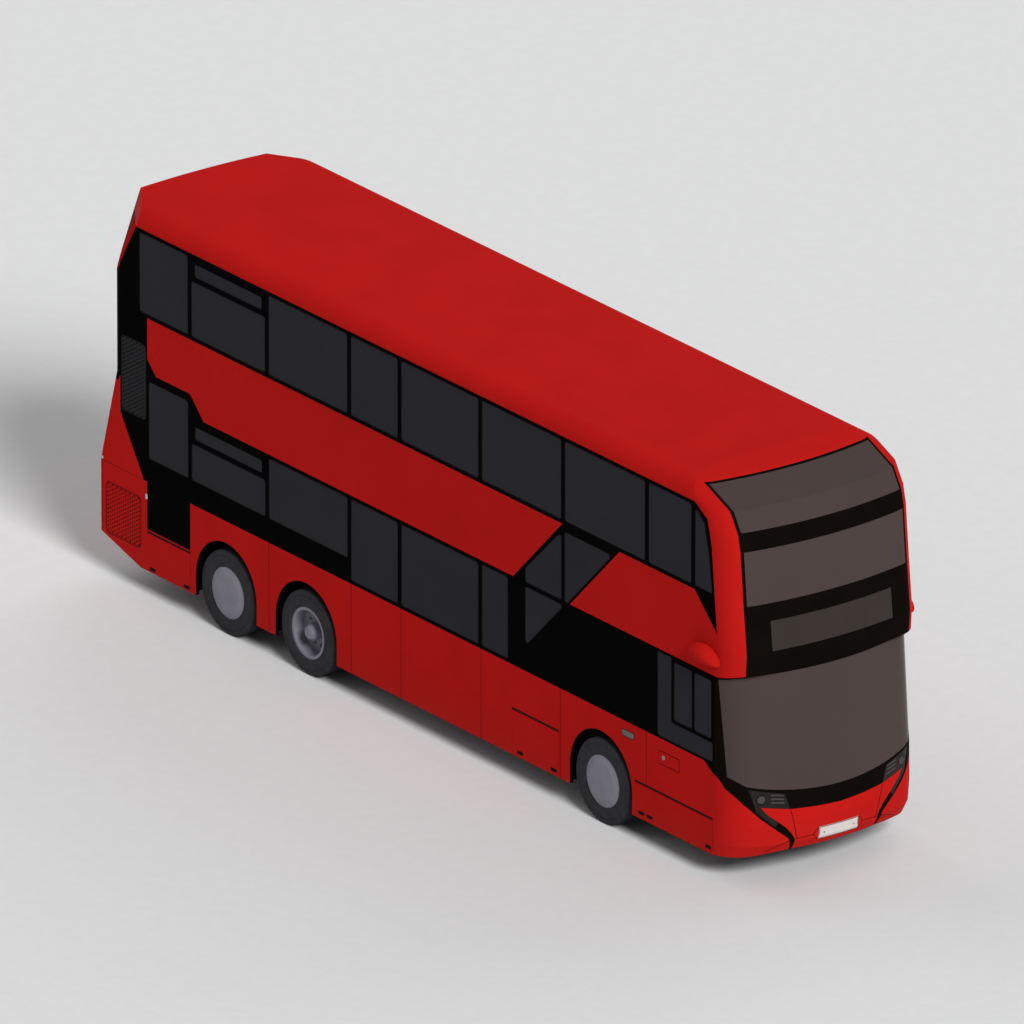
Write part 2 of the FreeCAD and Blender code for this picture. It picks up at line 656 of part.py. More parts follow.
# ---------------------------------------------------------------- flaps
def flap(x0, x1, z0, z1, radius):
    """Top-hinged flap of the right side, its top edge rounded about the hinge."""
    gap = SWING_GAP
    hinge_y = -(HALF - 2 - FLAP_T / 2)
    hinge_z = z1 - gap - FLAP_T / 2
    low = z0 if z0 <= SKIRT_Z else z0 + gap
    plate = prism_xz(rect(x0 + gap, x1 - gap, low, hinge_z), hinge_y - FLAP_T / 2, hinge_y + FLAP_T / 2)
    if radius:
        uprights = [e for e in plate.Edges
                    if abs(e.Vertexes[0].Z - low) < 1 and abs(e.Vertexes[1].Z - low) < 1
                    and abs(e.Vertexes[0].X - e.Vertexes[1].X) < 1]
        plate = plate.makeFillet(radius - gap, uprights)
    edge = rod(V(x0 + gap, hinge_y, hinge_z), V(x1 - gap, hinge_y, hinge_z), FLAP_T / 2)
    pin = rod(V(x0 + SEAM, hinge_y, hinge_z), V(x1 - SEAM, hinge_y, hinge_z), FLAP_T / 4)
    return fuse([plate, edge, pin])


# ---------------------------------------------------------------- roof and ends
MASK_Y = 1112.0             # black front surround ends here
SCREEN_Y = 1078.0           # upper windscreens end here
SCREEN_T = 12.0
DISPLAY = (827.0, 2703.0, 3063.0)   # half width, low, high
SCREEN_BACK_LOW = fwd(2206)         # lower windscreen's rear edge at its foot
SCREEN_BACK_HIGH = fwd(2076)        # and at its head
SMILE_Z = 1030.0            # foot of the lower windscreen at the middle
BEAK_Z = 810.0              # black band's lower edge at the middle


def front_zone(points, radius=0.0):
    """Front-view region that reaches through the whole nose."""
    return prism_yz(points, fwd(1000), NOSE_X + 50, radius)


def forward_of_side():
    """Region in front of the flat side panels of the upper deck."""
    edge = [(flat_front(z), z) for z in (DECK_Z, NOSE_KINK_Z, UPPER_LOW_Z, *UPPER_MID)]
    edge += [(fwd(1905), BAND_TOP_Z), (BLACK_EDGE_TOP_X, CANT_Z)]
    points = [(NOSE_X + 50, BROW_Z), (BROW_X, BROW_Z)] + edge + [(NOSE_X + 50, CANT_Z)]
    return prism_xz(points, -HALF - 50, HALF + 50)


def mask_zone(half, low, high, grow=0.0):
    """Front-view band between two heights."""
    return front_zone([(-half - grow, low - grow), (half + grow, low - grow),
                       (half + grow, high + grow), (-half - grow, high + grow)])


UPPER_SCREENS = [(UPPER_MID[1] + 8.0, UPPER_TOP_Z), (UPPER_LOW_Z, UPPER_MID[0])]
MASK_TOP_Z = UPPER_TOP_Z + 14.0


def roof():
    """Roof panel with its rounded cantrails, from the rear face to the roof screen."""
    region = box(TAIL_X - 50, NOSE_X, -HALF - 50, HALF + 50, CANT_Z + SEAM, ROOF_Z + 100)
    panel = UPPER_SHELL.common(region)
    head = front_zone([(-MASK_Y, CANT_Z - 50), (MASK_Y, CANT_Z - 50), (MASK_Y, MASK_TOP_Z),
                       (-MASK_Y, MASK_TOP_Z)])
    rear = box(TAIL_X - 50, TAIL_X + REAR_FACE_SET + WALL, -HALF, HALF, CANT_Z, ROOF_EDGE_Z - WALL)
    return panel.cut(head).cut(rear)


def front_corners():
    """Red corner pillars beside the upper front surround."""
    shell = UPPER_SHELL.common(forward_of_side())
    return shell.cut(front_zone([(-MASK_Y - SEAM, 0), (MASK_Y + SEAM, 0), (MASK_Y + SEAM, ROOF_Z),
                                 (-MASK_Y - SEAM, ROOF_Z)]))


def upper_mask():
    """Black surround of the upper windscreens and the destination display."""
    shell = UPPER_SHELL.common(mask_zone(MASK_Y, BROW_Z, MASK_TOP_Z - SEAM))
    shell = shell.cut(box(TAIL_X, fwd(1400), -HALF, HALF, 0, ROOF_Z + 50))
    holes = [mask_zone(SCREEN_Y, low, high) for low, high in UPPER_SCREENS]
    holes.append(mask_zone(*DISPLAY))
    return shell.cut(Part.makeCompound(holes))


def thin_nose(stations, bow, corner, start, thickness):
    """Skin of the nose between two depths under its surface."""
    outer = nose_solid(stations, bow, corner, start, FRONT_X)
    return outer.cut(nose_solid(stations, bow, corner, start + thickness, FRONT_X - 10))


def lower_screen_zone(grow):
    """Region of the wrap-round lower windscreen, with its curved foot."""
    y = 1100.0
    foot = SMILE_Z - grow
    rise = 133.0
    edge_y = HALF + 20.0
    points = [V(0, -edge_y, foot + rise + 140.0), V(0, -y, foot + rise)]
    arc = Part.Arc(points[1], V(0, 0, foot), V(0, y, foot + rise)).toShape()
    top = BROW_Z
    edges = [Part.makeLine(points[0], points[1]), arc,
             Part.makeLine(V(0, y, foot + rise), V(0, edge_y, foot + rise + 140.0)),
             Part.makeLine(V(0, edge_y, foot + rise + 140.0), V(0, edge_y, top)),
             Part.makeLine(V(0, edge_y, top), V(0, -edge_y, top)),
             Part.makeLine(V(0, -edge_y, top), points[0])]
    face = Part.Face(Part.Wire(edges))
    face.translate(V(fwd(1500), 0, 0))
    front = face.extrude(V(FRONT_OVERHANG - 1400, 0, 0))
    side_head = DECK_Z - 32.0 + grow
    head = BROW_Z - 35.0 + grow
    back = [(SCREEN_BACK_LOW - grow, 900.0), (NOSE_X + 60, 900.0), (NOSE_X + 60, head),
            (BROW_X, head), (flat_front(DECK_Z), side_head), (SCREEN_BACK_HIGH - grow, side_head),
            (SCREEN_BACK_LOW - grow, SMILE_Z + 258.0)]
    return front.common(prism_xz(back, -HALF - 50, HALF + 50))


def windscreens():
    """Lower wrap-round windscreen, upper windscreen and roof-edge screen."""
    lower = thin_nose(LOWER_NOSE, LOWER_NOSE_R, LOWER_CORNER_R, 2.0, SCREEN_T)
    upper = thin_nose(UPPER_NOSE, UPPER_NOSE_R, UPPER_CORNER_R, 2.0, SCREEN_T)
    panes = [lower.common(lower_screen_zone(-SEAM))]
    for low, high in UPPER_SCREENS:
        panes.append(upper.common(mask_zone(SCREEN_Y, low, high, -SEAM)))
    return group(panes)


# lower edge of the black surround with its sweep under the lamp, left half: (y, z)
BLACK_EDGE = [(0.0, BEAK_Z), (300.0, 824.0), (629.0, 847.0), (963.0, 912.0), (892.0, 822.0),
              (773.0, 722.0), (672.0, 635.0), (599.0, 547.0), (560.0, 478.0), (560.0, 200.0),
              (597.0, 200.0), (597.0, 380.0), (640.0, 500.0), (773.0, 611.0), (969.0, 781.0),
              (1134.0, 964.0), (1245.0, 1115.0), (HALF, WAIST_Z - NOSE_BLACK_DROP)]
# lamp cluster with its tail along the sweep, left half: (y, z)
LENS = [(1080.0, 1128.0), (692.0, 1037.0), (629.0, 847.0), (963.0, 912.0), (760.0, 706.0),
        (800.0, 655.0), (1010.0, 860.0)]


def black_front_zone():
    """Front-view region of the black surround, down to the tips of its sweeps."""
    corner = [(HALF + 30.0, WAIST_Z - NOSE_BLACK_DROP), (HALF + 30.0, BROW_Z + 10.0)]
    return front_zone(both_halves(BLACK_EDGE + corner))


def lower_front():
    """Whole lower front shell, ahead of the side panels, with its lip lifted."""
    rear_x = FRONT_SEAM + SEAM
    top = BROW_Z - SEAM
    region = prism_xz([(rear_x, SKIRT_Z), (NOSE_X + 50, SKIRT_Z), (NOSE_X + 50, top),
                       (BROW_X, top), (flat_front(DECK_Z), DECK_Z), (rear_x, DECK_Z)],
                      -HALF - 50, HALF + 50)
    shell = LOWER_SHELL.common(region)
    lip = front_zone([(-HALF, SKIRT_Z - 10), (HALF, SKIRT_Z - 10), (HALF, SKIRT_Z),
                      (600.0, SKIRT_Z + 55.0), (-600.0, SKIRT_Z + 55.0), (-HALF, SKIRT_Z)])
    return shell.cut(lip)


def lower_mask():
    """Black surround of the lower windscreen, with the sweeps under the lamps."""
    shell = lower_front()
    lenses = [front_zone(LENS), mirrored(front_zone(LENS))]
    mask = shell.common(black_front_zone()).cut(lower_screen_zone(0.0))
    return mask.cut(Part.makeCompound(lenses))


def front_apron():
    """Red lower front panels and the lip under the number plate."""
    shell = lower_front()
    return shell.cut(black_front_zone())


def headlamps():
    """Lens units that follow the nose, one on each side."""
    skin = thin_nose(LOWER_NOSE, LOWER_NOSE_R, LOWER_CORNER_R, 3.0, 30.0)
    left = skin.common(front_zone(LENS)).common(black_front_zone())
    return group([left, mirrored(left)])


def display_panel():
    """Destination display behind its glass, flush in the upper surround."""
    skin = thin_nose(UPPER_NOSE, UPPER_NOSE_R, UPPER_CORNER_R, 4.0, 20.0)
    half, low, high = DISPLAY
    return skin.common(mask_zone(half, low, high, -SEAM))


REAR_WINDOW = (960.0, 3330.0, CANT_Z - 85.0)       # half width, low, high
COVER = (800.0, 700.0, 1290.0)              # engine cover: half width, low, high
TAIL_LAMP = (1010.0, 1180.0, 560.0, 1290.0)  # inner, outer, low, high
COVER_T = 30.0


def rear_zone(y0, y1, z0, z1, radius=0.0):
    """Rear-view region through the rear shell."""
    return prism_yz([(y0, z0), (y1, z0), (y1, z1), (y0, z1)], TAIL_X - 60, TAIL_X + 700, radius)


def behind_side():
    """Region behind the flat side panels."""
    points = [(TAIL_X - 60, SKIRT_Z - 10), (tail_edge(SKIRT_Z) - SEAM, SKIRT_Z - 10),
              (tail_edge(BUSTLE_Z) - SEAM, BUSTLE_Z), (tail_edge(SLOPE_TOP_Z) - SEAM, SLOPE_TOP_Z),
              (tail_edge(FACET_FOOT_Z) - SEAM, FACET_FOOT_Z), (TAIL_X + FACET_X - SEAM, CANT_Z),
              (TAIL_X + FACET_X - SEAM, ROOF_Z), (TAIL_X - 60, ROOF_Z)]
    return prism_xz(points, -HALF - 50, HALF + 50)


def rear_lower():
    """Bustle round the engine cover, with its tail lamps cut out."""
    shell = LOWER_SHELL.common(behind_side()).cut(tail_cut())
    shell = shell.common(box(TAIL_X - 50, NOSE_X, -HALF, HALF, SKIRT_Z, DECK_Z))
    half, low, high = COVER
    y0, y1, z0, z1 = TAIL_LAMP
    holes = [rear_zone(-half, half, low, high), rear_zone(y0, y1, z0, z1, 30.0),
             rear_zone(-y1, -y0, z0, z1, 30.0)]
    return shell.cut(Part.makeCompound(holes))


def rear_upper():
    """Upper rear face with its corner facets, up to the roof panel."""
    low = box(TAIL_X - 50, NOSE_X, -HALF - 50, HALF + 50, DECK_Z + SEAM, CANT_Z)
    shell = UPPER_SHELL.common(behind_side())
    top = box(TAIL_X - 50, TAIL_X + REAR_FACE_SET + WALL, -HALF, HALF, CANT_Z,
              ROOF_EDGE_Z - WALL - SEAM)
    shell = shell.common(fuse([low, top]))
    half, z0, z1 = REAR_WINDOW
    return shell.cut(rear_zone(-half, half, z0, z1, 80.0))


def rear_window():
    """Emergency window of the upper deck's rear face."""
    half, z0, z1 = REAR_WINDOW
    corners = [V(TAIL_X + REAR_FACE_SET + 3, y, z)
               for y, z in ((-half, z0), (half, z0), (half, z1), (-half, z1))]
    face = Part.Face(rounded_wire(corners, 80.0)).makeOffset2D(-SEAM)
    return face.extrude(V(PANE, 0, 0))


def tail_lamps():
    """Upright lamp units beside the engine cover."""
    y0, y1, z0, z1 = TAIL_LAMP
    corners = [V(TAIL_X + 3, y, z) for y, z in ((y0, z0), (y1, z0), (y1, z1), (y0, z1))]
    face = Part.Face(rounded_wire(corners, 30.0)).makeOffset2D(-SEAM)
    lamp = face.extrude(V(WALL - 8, 0, 0))
    return group([lamp, mirrored(lamp)])


def engine_cover():
    """Top-hinged rear cover with its louvres cut through."""
    half, low, high = COVER
    gap = SWING_GAP
    hinge_x = TAIL_X + 2 + COVER_T / 2
    hinge_z = high - gap - COVER_T / 2
    plate = box(hinge_x - COVER_T / 2, hinge_x + COVER_T / 2, -half + gap, half - gap, low + gap,
                hinge_z)
    edge = rod(V(hinge_x, -half + gap, hinge_z), V(hinge_x, half - gap, hinge_z), COVER_T / 2)
    pin = rod(V(hinge_x, -half + SEAM, hinge_z), V(hinge_x, half - SEAM, hinge_z), COVER_T / 4)
    cover = fuse([plate, edge, pin])
    slots = []
    pitch = 62.0
    for i in range(6):
        z = low + 130.0 + i * pitch
        slots.append(box(TAIL_X - 10, TAIL_X + 60, -half + 130, half - 130, z, z + 26.0))
    return cover.cut(Part.makeCompound(slots))


# ---------------------------------------------------------------- floors and wheelhouses
def wheelhouse_shape(axle_x, radius, y_in, side):
    """Half-round tunnel over one wheel, from the floor's underside up."""
    y_out = INNER - SEAM
    barrel = rod(V(axle_x, side * y_in, TYRE_R), V(axle_x, side * y_out, TYRE_R), radius)
    legs = box(axle_x - radius, axle_x + radius, side * y_in, side * y_out, FLOOR_Z - FLOOR_T,
               TYRE_R)
    low = box(axle_x - radius - 10, axle_x + radius + 10, side * (y_in - 10), side * (y_out + 10),
              TYRE_R - radius - 10, FLOOR_Z - FLOOR_T)
    return fuse([barrel, legs]).cut(low)


HOUSES = [  # axle station, tunnel radius, inner wall
    (FRONT_X, FRONT_LINER_R, FRONT_LINER_Y),
    (DRIVE_X, REAR_LINER_R, REAR_LINER_Y),
    (TAG_X, REAR_LINER_R, REAR_LINER_Y),
]
AXLE_SLOT = 90.0            # half width of the inner wall's slot for a rear axle tube
AXLE_TRAVEL = 100.0         # height of that slot over the axle


def wheelhouses():
    """Wheelhouses of all six wheel places, open outward and below."""
    solids = []
    for axle_x, radius, y_in in HOUSES:
        outer = wheelhouse_shape(axle_x, radius + LINER_T, y_in - LINER_T, 1)
        hollow = rod(V(axle_x, y_in, TYRE_R), V(axle_x, HALF, TYRE_R), radius)
        well = box(axle_x - radius, axle_x + radius, y_in, HALF, 0, TYRE_R)
        house = outer.cut(fuse([hollow, well]))
        if axle_x != FRONT_X:
            house = house.cut(box(axle_x - AXLE_SLOT, axle_x + AXLE_SLOT, y_in - LINER_T - 5,
                                  y_in + 5, 0, TYRE_R + AXLE_TRAVEL))
        solids += [house, mirrored(house)]
    return group(solids)


def house_clearance():
    """Room that the floors leave round the wheelhouses."""
    grown = []
    for axle_x, radius, y_in in HOUSES:
        reach = radius + LINER_T + SEAM
        inner = y_in - LINER_T - SEAM
        barrel = rod(V(axle_x, inner, TYRE_R), V(axle_x, HALF, TYRE_R), reach)
        legs = box(axle_x - reach, axle_x + reach, inner, HALF, 0, TYRE_R)
        shape = fuse([barrel, legs])
        grown += [shape, mirrored(shape)]
    return Part.makeCompound(grown)


def lower_floor():
    """Low floor, the riser and the raised floor over the rear axles."""
    side = INNER - SEAM
    low = LOWER_INNER.common(box(RISER_X, NOSE_X, -side, side, FLOOR_Z - FLOOR_T, FLOOR_Z))
    trim = nose_solid(LOWER_NOSE, LOWER_NOSE_R, LOWER_CORNER_R, WALL + SEAM, TAIL_X)
    low = low.common(trim)
    riser = box(RISER_X, RISER_X + FLOOR_T, -side, side, FLOOR_Z, RAISED_FLOOR_Z)
    raised = box(TAIL_X + WALL + SEAM, RISER_X + FLOOR_T, -side, side, RAISED_FLOOR_Z - FLOOR_T,
                 RAISED_FLOOR_Z)
    return fuse([low, riser, raised]).cut(house_clearance())


STAIR_TOP_X = STAIR_FOOT_X + STEP_COUNT * STEP_GOING
STAIR_Y1 = STAIR_Y0 + STAIR_WIDTH
WELL_REAR_X = STAIR_FOOT_X + 300.0


def upper_floor():
    """Upper deck floor with the stair well, closing the overhang over the windscreen."""
    inner = WALL + SEAM
    trim = body_solid(UPPER_NOSE, UPPER_NOSE_R, UPPER_CORNER_R, inner)
    slab = trim.common(box(TAIL_X, NOSE_X, -INNER, INNER, DECK_Z + SEAM, UPPER_FLOOR_Z))
    below_brow = box(TAIL_X, NOSE_X, -INNER, INNER, DECK_Z, BROW_Z)
    lower_inside = nose_solid(LOWER_NOSE, LOWER_NOSE_R, LOWER_CORNER_R, inner, TAIL_X)
    slab = slab.cut(below_brow.cut(lower_inside))
    well = box(WELL_REAR_X, STAIR_TOP_X, -INNER - 20, STAIR_Y1 + 40, 0, ROOF_Z)
    return slab.cut(well)


def staircase():
    """Flight of closed steps that climbs forward to the upper floor."""
    riser = (UPPER_FLOOR_Z - FLOOR_Z) / (STEP_COUNT + 1)
    points = [(STAIR_FOOT_X, FLOOR_Z + SEAM)]
    for i in range(STEP_COUNT):
        x = STAIR_FOOT_X + i * STEP_GOING
        z = FLOOR_Z + (i + 1) * riser
        points += [(x, z), (x + STEP_GOING, z)]
    x_end = STAIR_TOP_X - SEAM
    points[-1] = (x_end, points[-1][1])
    points += [(x_end, points[-1][1] - STAIR_SOFFIT)]
    slope = riser / STEP_GOING
    foot_x = STAIR_FOOT_X + STAIR_SOFFIT
    points += [(foot_x + 60.0, FLOOR_Z + SEAM + 60.0 * slope * 0.5), (foot_x + 60.0, FLOOR_Z + SEAM)]
    flight = prism_xz(points, STAIR_Y0, STAIR_Y1)
    return flight


# ---------------------------------------------------------------- chassis
RAIL_Y = 430.0
RAIL_W = 80.0
LOW_RAIL_T = 70.0
HIGH_RAIL_T = 150.0
LOW_RAIL_TOP = FLOOR_Z - FLOOR_T - SEAM
HIGH_RAIL_TOP = RAISED_FLOOR_Z - FLOOR_T - SEAM
ENGINE = (TAIL_X + 190.0, TAIL_X + 1300.0, 400.0, 930.0)         # x0, x1, z0, z1
TOW_EYE_R = 20.0
TOW_LUG = (70.0, 110.0, 25.0, 35.0) # reach, width, thickness, eye from its tip
BAR = 60.0                          # width of a cross bar of the frame
FRAME_FRONT_X = NOSE_X - 700.0
JACK_PAD_X = RISER_X - 400.0        # pads under the high rails for a stand


def towing_lug(root_x, direction, z):
    """Flat lug with a vertical eye, butted on the end of the frame."""
    reach, width, thickness, eye_x = TOW_LUG
    tip_x = root_x + direction * reach
    lug = box(root_x, tip_x, -width / 2, width / 2, z, z + thickness)
    eye_x = tip_x - direction * eye_x
    return lug.cut(rod(V(eye_x, 0, z - 20), V(eye_x, 0, z + thickness + 20), TOW_EYE_R))


def chassis_frame():
    """Ladder frame: low rails under the low floor, high rails over the rear axles."""
    low = LOW_RAIL_TOP - LOW_RAIL_T
    high = HIGH_RAIL_TOP - HIGH_RAIL_T
    inner = RAIL_Y - RAIL_W / 2
    outer = RAIL_Y + RAIL_W / 2
    rear_end = TAIL_X + 120.0
    post_x = RISER_X - RAIL_W
    members = []                # (x0, x1, y0, y1, z0, z1)
    for side in (-1, 1):
        y0, y1 = side * inner, side * outer
        members.append((RISER_X, FRAME_FRONT_X, y0, y1, low, LOW_RAIL_TOP))
        members.append((post_x, RISER_X - SEAM, y0, y1, low, HIGH_RAIL_TOP))
        members.append((rear_end + BAR + SEAM, post_x - SEAM, y0, y1, high, HIGH_RAIL_TOP))
        pad_y = side * RAIL_Y
        members.append((JACK_PAD_X - 60, JACK_PAD_X + 60, pad_y - 40, pad_y + 40,
                        high - SEAM - 20, high - SEAM))
    low_bars = [RISER_X + 500.0, RISER_X + 1700.0, RISER_X + 2900.0, FRONT_X - 760.0,
                FRONT_X + 760.0, FRAME_FRONT_X - BAR]
    for x in low_bars:
        for y0, y1 in ((-INNER + 80, -outer - SEAM), (-inner + SEAM, inner - SEAM),
                       (outer + SEAM, INNER - 80)):
            members.append((x, x + BAR, y0, y1, low, LOW_RAIL_TOP))
    for x in (TAIL_X + 1380.0, TAG_X - BAR, (TAG_X + DRIVE_X - BAR) / 2, DRIVE_X - BAR / 2):
        members.append((x, x + BAR, -inner + SEAM, inner - SEAM, high, HIGH_RAIL_TOP))
    members.append((rear_end, rear_end + BAR, -outer, outer, high, HIGH_RAIL_TOP))
    lugs = [towing_lug(FRAME_FRONT_X + SEAM, 1, low), towing_lug(rear_end - SEAM, -1, high)]
    return group([box(*limits) for limits in members] + lugs)


def engine_block():
    """Engine and gearbox as one block, hung between the high rails."""
    x0, x1, z0, z1 = ENGINE
    half = RAIL_Y - RAIL_W / 2 - SEAM
    return box(x0, x1, -half, half, z0, z1)


BEAM_Z = (165.0, 245.0)
BEAM_T = 110.0


def front_beam():
    """Dropped front axle beam with a kingpin boss at each end."""
    z0, z1 = BEAM_Z
    parts = [box(FRONT_X - BEAM_T / 2, FRONT_X + BEAM_T / 2, -KINGPIN_Y, KINGPIN_Y, z0, z1)]
    bores = []
    for side in (-1, 1):
        y = side * KINGPIN_Y
        parts.append(box(FRONT_X - BEAM_T / 2, FRONT_X + BEAM_T / 2, y - side * 60, y - side * 180,
                         z0, TYRE_R + 60))
        parts.append(rod(V(FRONT_X, y, TYRE_R - 60), V(FRONT_X, y, TYRE_R + 60), BEAM_T / 2))
        parts.append(box(FRONT_X - BEAM_T / 2, FRONT_X + BEAM_T / 2, y, y - side * 100,
                         TYRE_R - 60, TYRE_R + 60))
        bores.append(rod(V(FRONT_X, y, TYRE_R - 80), V(FRONT_X, y, TYRE_R + 80),
                         KINGPIN_R + RUNNING))
        parts.append(box(FRONT_X - 40, FRONT_X + 40, side * RAIL_Y - 40, side * RAIL_Y + 40, z1,
                         LOW_RAIL_TOP - LOW_RAIL_T - SEAM))
    trimmed = fuse(parts)
    for side in (-1, 1):
        y = side * KINGPIN_Y
        trimmed = trimmed.cut(box(FRONT_X - 200, FRONT_X + 200, y - side * 60, y + side * 400,
                                  0, TYRE_R - 60))
    return trimmed.cut(Part.makeCompound(bores))


def rear_axles():
    """Drive axle with its final drive casing, and the plain tag axle."""
    solids = []
    for axle_x, centre_r, end_y in ((DRIVE_X, 190.0, REAR_LINER_Y + 20), (TAG_X, 0.0, 930.0)):
        tube_r = 70.0
        parts = [rod(V(axle_x, -end_y, TYRE_R), V(axle_x, end_y, TYRE_R), tube_r)]
        shaft_end = WHEEL_Y - 130.0
        parts.append(rod(V(axle_x, -shaft_end, TYRE_R), V(axle_x, shaft_end, TYRE_R), STUB_R))
        if centre_r:
            parts.append(Part.makeSphere(centre_r, V(axle_x, 0, TYRE_R)))
        for side in (-1, 1):
            y = side * RAIL_Y
            parts.append(rod(V(axle_x, y, TYRE_R), V(axle_x, y, HIGH_RAIL_TOP - HIGH_RAIL_T - SEAM),
                             75.0))
        solids.append(fuse(parts))
    return group(solids)


def axles():
    """Front beam and both rear axles, fixed to the frame by their springs."""
    return group([front_beam(), rear_axles()])


def knuckle(side):
    """Steering knuckle: kingpin, two ears and the stub axle."""
    y = side * KINGPIN_Y
    ear = 45.0
    half = 55.0
    boss = 60.0
    z = TYRE_R
    plate_y = (side * (KINGPIN_Y + 70.0), side * (KINGPIN_Y + 95.0))
    parts = [rod(V(FRONT_X, y, z - boss - ear), V(FRONT_X, y, z + boss + ear), KINGPIN_R)]
    for low, high in ((z - boss - ear, z - boss - SEAM), (z + boss + SEAM, z + boss + ear)):
        parts.append(rod(V(FRONT_X, y, low), V(FRONT_X, y, high), half - 5))
        parts.append(box(FRONT_X - half + 5, FRONT_X + half - 5, y, plate_y[1], low, high))
    parts.append(box(FRONT_X - half, FRONT_X + half, plate_y[0], plate_y[1], z - boss - ear,
                     z + boss + ear))
    parts.append(rod(V(FRONT_X, plate_y[1], z), V(FRONT_X, side * (WHEEL_Y - 75.0), z), STUB_R))
    return fuse(parts)


# ---------------------------------------------------------------- wheels
TYRE_SIDES = 60             # flats round a tyre; one rests on the ground


def tyre_profile(start):
    """Section of one tyre: (distance inboard of the wheel's face, radius)."""
    w = TYRE_W
    shoulder = 20.0
    wall_r = TYRE_R - 75.0
    bead = RIM_R - 12.0
    return [(start + shoulder, TYRE_R), (start + w - shoulder, TYRE_R), (start + w, wall_r),
            (start + w - 25, bead), (start + 25, bead), (start, wall_r)]


def tyre(axle_x, side, start=0.0):
    """One tyre as a ring of flats that fits on its rim."""
    step = 2 * math.pi / TYRE_SIDES
    centre = V(axle_x, side * WHEEL_Y, TYRE_R)
    rings = []
    for i in range(TYRE_SIDES):
        angle = (i + 0.5) * step
        out = V(math.sin(angle), 0, math.cos(angle)) * (1 / math.cos(step / 2))
        rings.append([centre + V(0, -side * inboard, 0) + out * radius
                      for inboard, radius in tyre_profile(start)])
    faces = []
    for ring, after in zip(rings, rings[1:] + rings[:1]):
        for j in range(len(ring)):
            corners = [ring[j - 1], ring[j], after[j], after[j - 1]]
            faces.append(Part.Face(Part.makePolygon(corners + corners[:1])))
    solid = Part.Solid(Part.Shell(faces))
    if solid.Volume < 0:
        solid.reverse()
    return solid


def rim_barrel(start):
    """Outer part of a rim section: flanges and well."""
    bead = RIM_R - 12.0 - SEAM
    w = TYRE_W
    return [(start + 12, RIM_R), (start + 21, RIM_R), (start + 21, bead), (start + w - 21, bead),
            (start + w - 21, RIM_R), (start + w - 12, RIM_R)]


def rim(axle_x, side, dished):
    """Wheel: rim, disc and hub; the drive wheel carries two rims on one hub."""
    centre = V(axle_x, side * WHEEL_Y, TYRE_R)
    inner_r = RIM_R - 32.0
    w = TYRE_W
    bore = STUB_R + RUNNING
    ring = rim_barrel(0.0) + [(w - 12, inner_r), (12, inner_r)]
    parts = [revolved(ring, centre, side)]
    if dished:
        second = w + TWIN_GAP
        parts.append(revolved(rim_barrel(second) + [(second + w - 12, inner_r), (second + 12, inner_r)],
                              centre, side))
        link = [(w - 30, inner_r + 2), (second + 30, inner_r + 2), (second + 30, inner_r - 16),
                (w - 30, inner_r - 16)]
        parts.append(revolved(link, centre, side))
        disc = [(150, inner_r + 2), (176, inner_r + 2), (176, bore), (30, bore), (30, 78),
                (60, 92), (138, 104), (150, 150)]
        cap = [(12, 0), (12, 60), (30, 78), (31, 78), (31, 0)]
    else:
        disc = [(44, inner_r + 2), (70, inner_r + 2), (150, 150), (150, bore), (16, bore),
                (16, 150), (26, 176)]
        cap = [(0, 0), (0, 70), (17, 82), (17, 0)]
    parts.append(revolved(disc, centre, side))
    parts.append(revolved(cap, centre, side))
    return fuse(parts)


# ---------------------------------------------------------------- entrance doors
def door_leaf(front):
    """One leaf of the entrance: frame with a full-height opening, and pivot pins."""
    gap = SWING_GAP
    middle = (DOOR_REAR_X + DOOR_FRONT_X) / 2
    y = HALF - 2 - DOOR_T / 2
    half_t = DOOR_T / 2
    sign = -1 if front else 1
    jamb = (DOOR_FRONT_X if front else DOOR_REAR_X) + sign * gap
    pivot_x = jamb + sign * half_t
    edge_x = middle - sign * gap / 2
    z0 = FLOOR_Z + gap
    z1 = DOOR_HEAD_Z - gap
    plate = box(pivot_x, edge_x, y - half_t, y + half_t, z0, z1)
    round_edge = rod(V(pivot_x, y, z0), V(pivot_x, y, z1), half_t)
    frame = DOOR_FRAME
    x_in = pivot_x + sign * (frame - half_t)
    x_out = edge_x - sign * frame
    glass = rect(min(x_in, x_out), max(x_in, x_out), z0 + frame + 20, z1 - frame)
    hole = prism_xz(glass, y - 40, y + 40, PANE_CORNER)
    pins = rod(V(pivot_x, y, FLOOR_Z + SEAM), V(pivot_x, y, DOOR_HEAD_Z - SEAM), PIN_R)
    leaf = fuse([plate, round_edge, pins]).cut(hole)
    pane_face = Part.Face(rounded_wire([V(x, y - PANE / 2, z) for x, z in glass], PANE_CORNER))
    pane = pane_face.makeOffset2D(-SEAM).extrude(V(0, PANE, 0))
    return leaf, pane


# ---------------------------------------------------------------- interior
SEAT_Y = (365.0, 1205.0)
SEAT_PITCH = 760.0
SEAT_DEPTH = 430.0


def seat(x, floor_z, side, y0=SEAT_Y[0], y1=SEAT_Y[1]):
    """Forward-facing seat: back, cushion and a pedestal on the floor."""
    z = floor_z + SEAM
    cushion_z = z + 400.0
    front_x = x + SEAT_DEPTH
    joint_x = x + 60.0
    back = prism_xz([(x - 30, cushion_z), (joint_x, cushion_z), (joint_x, z + 470),
                     (x - 40, z + 1060), (x - 110, z + 1060)], side * y0, side * y1)
    joint_x += SEAM
    under_z = cushion_z + SEAM
    cushion = prism_xz([(joint_x, under_z), (front_x, under_z), (front_x, z + 490),
                        (joint_x, z + 470)], side * y0, side * y1)
    leg = box(x + 120, x + 300, side * (y0 + 250), side * (y1 - 250), z, cushion_z)
    return group([back, cushion, leg])


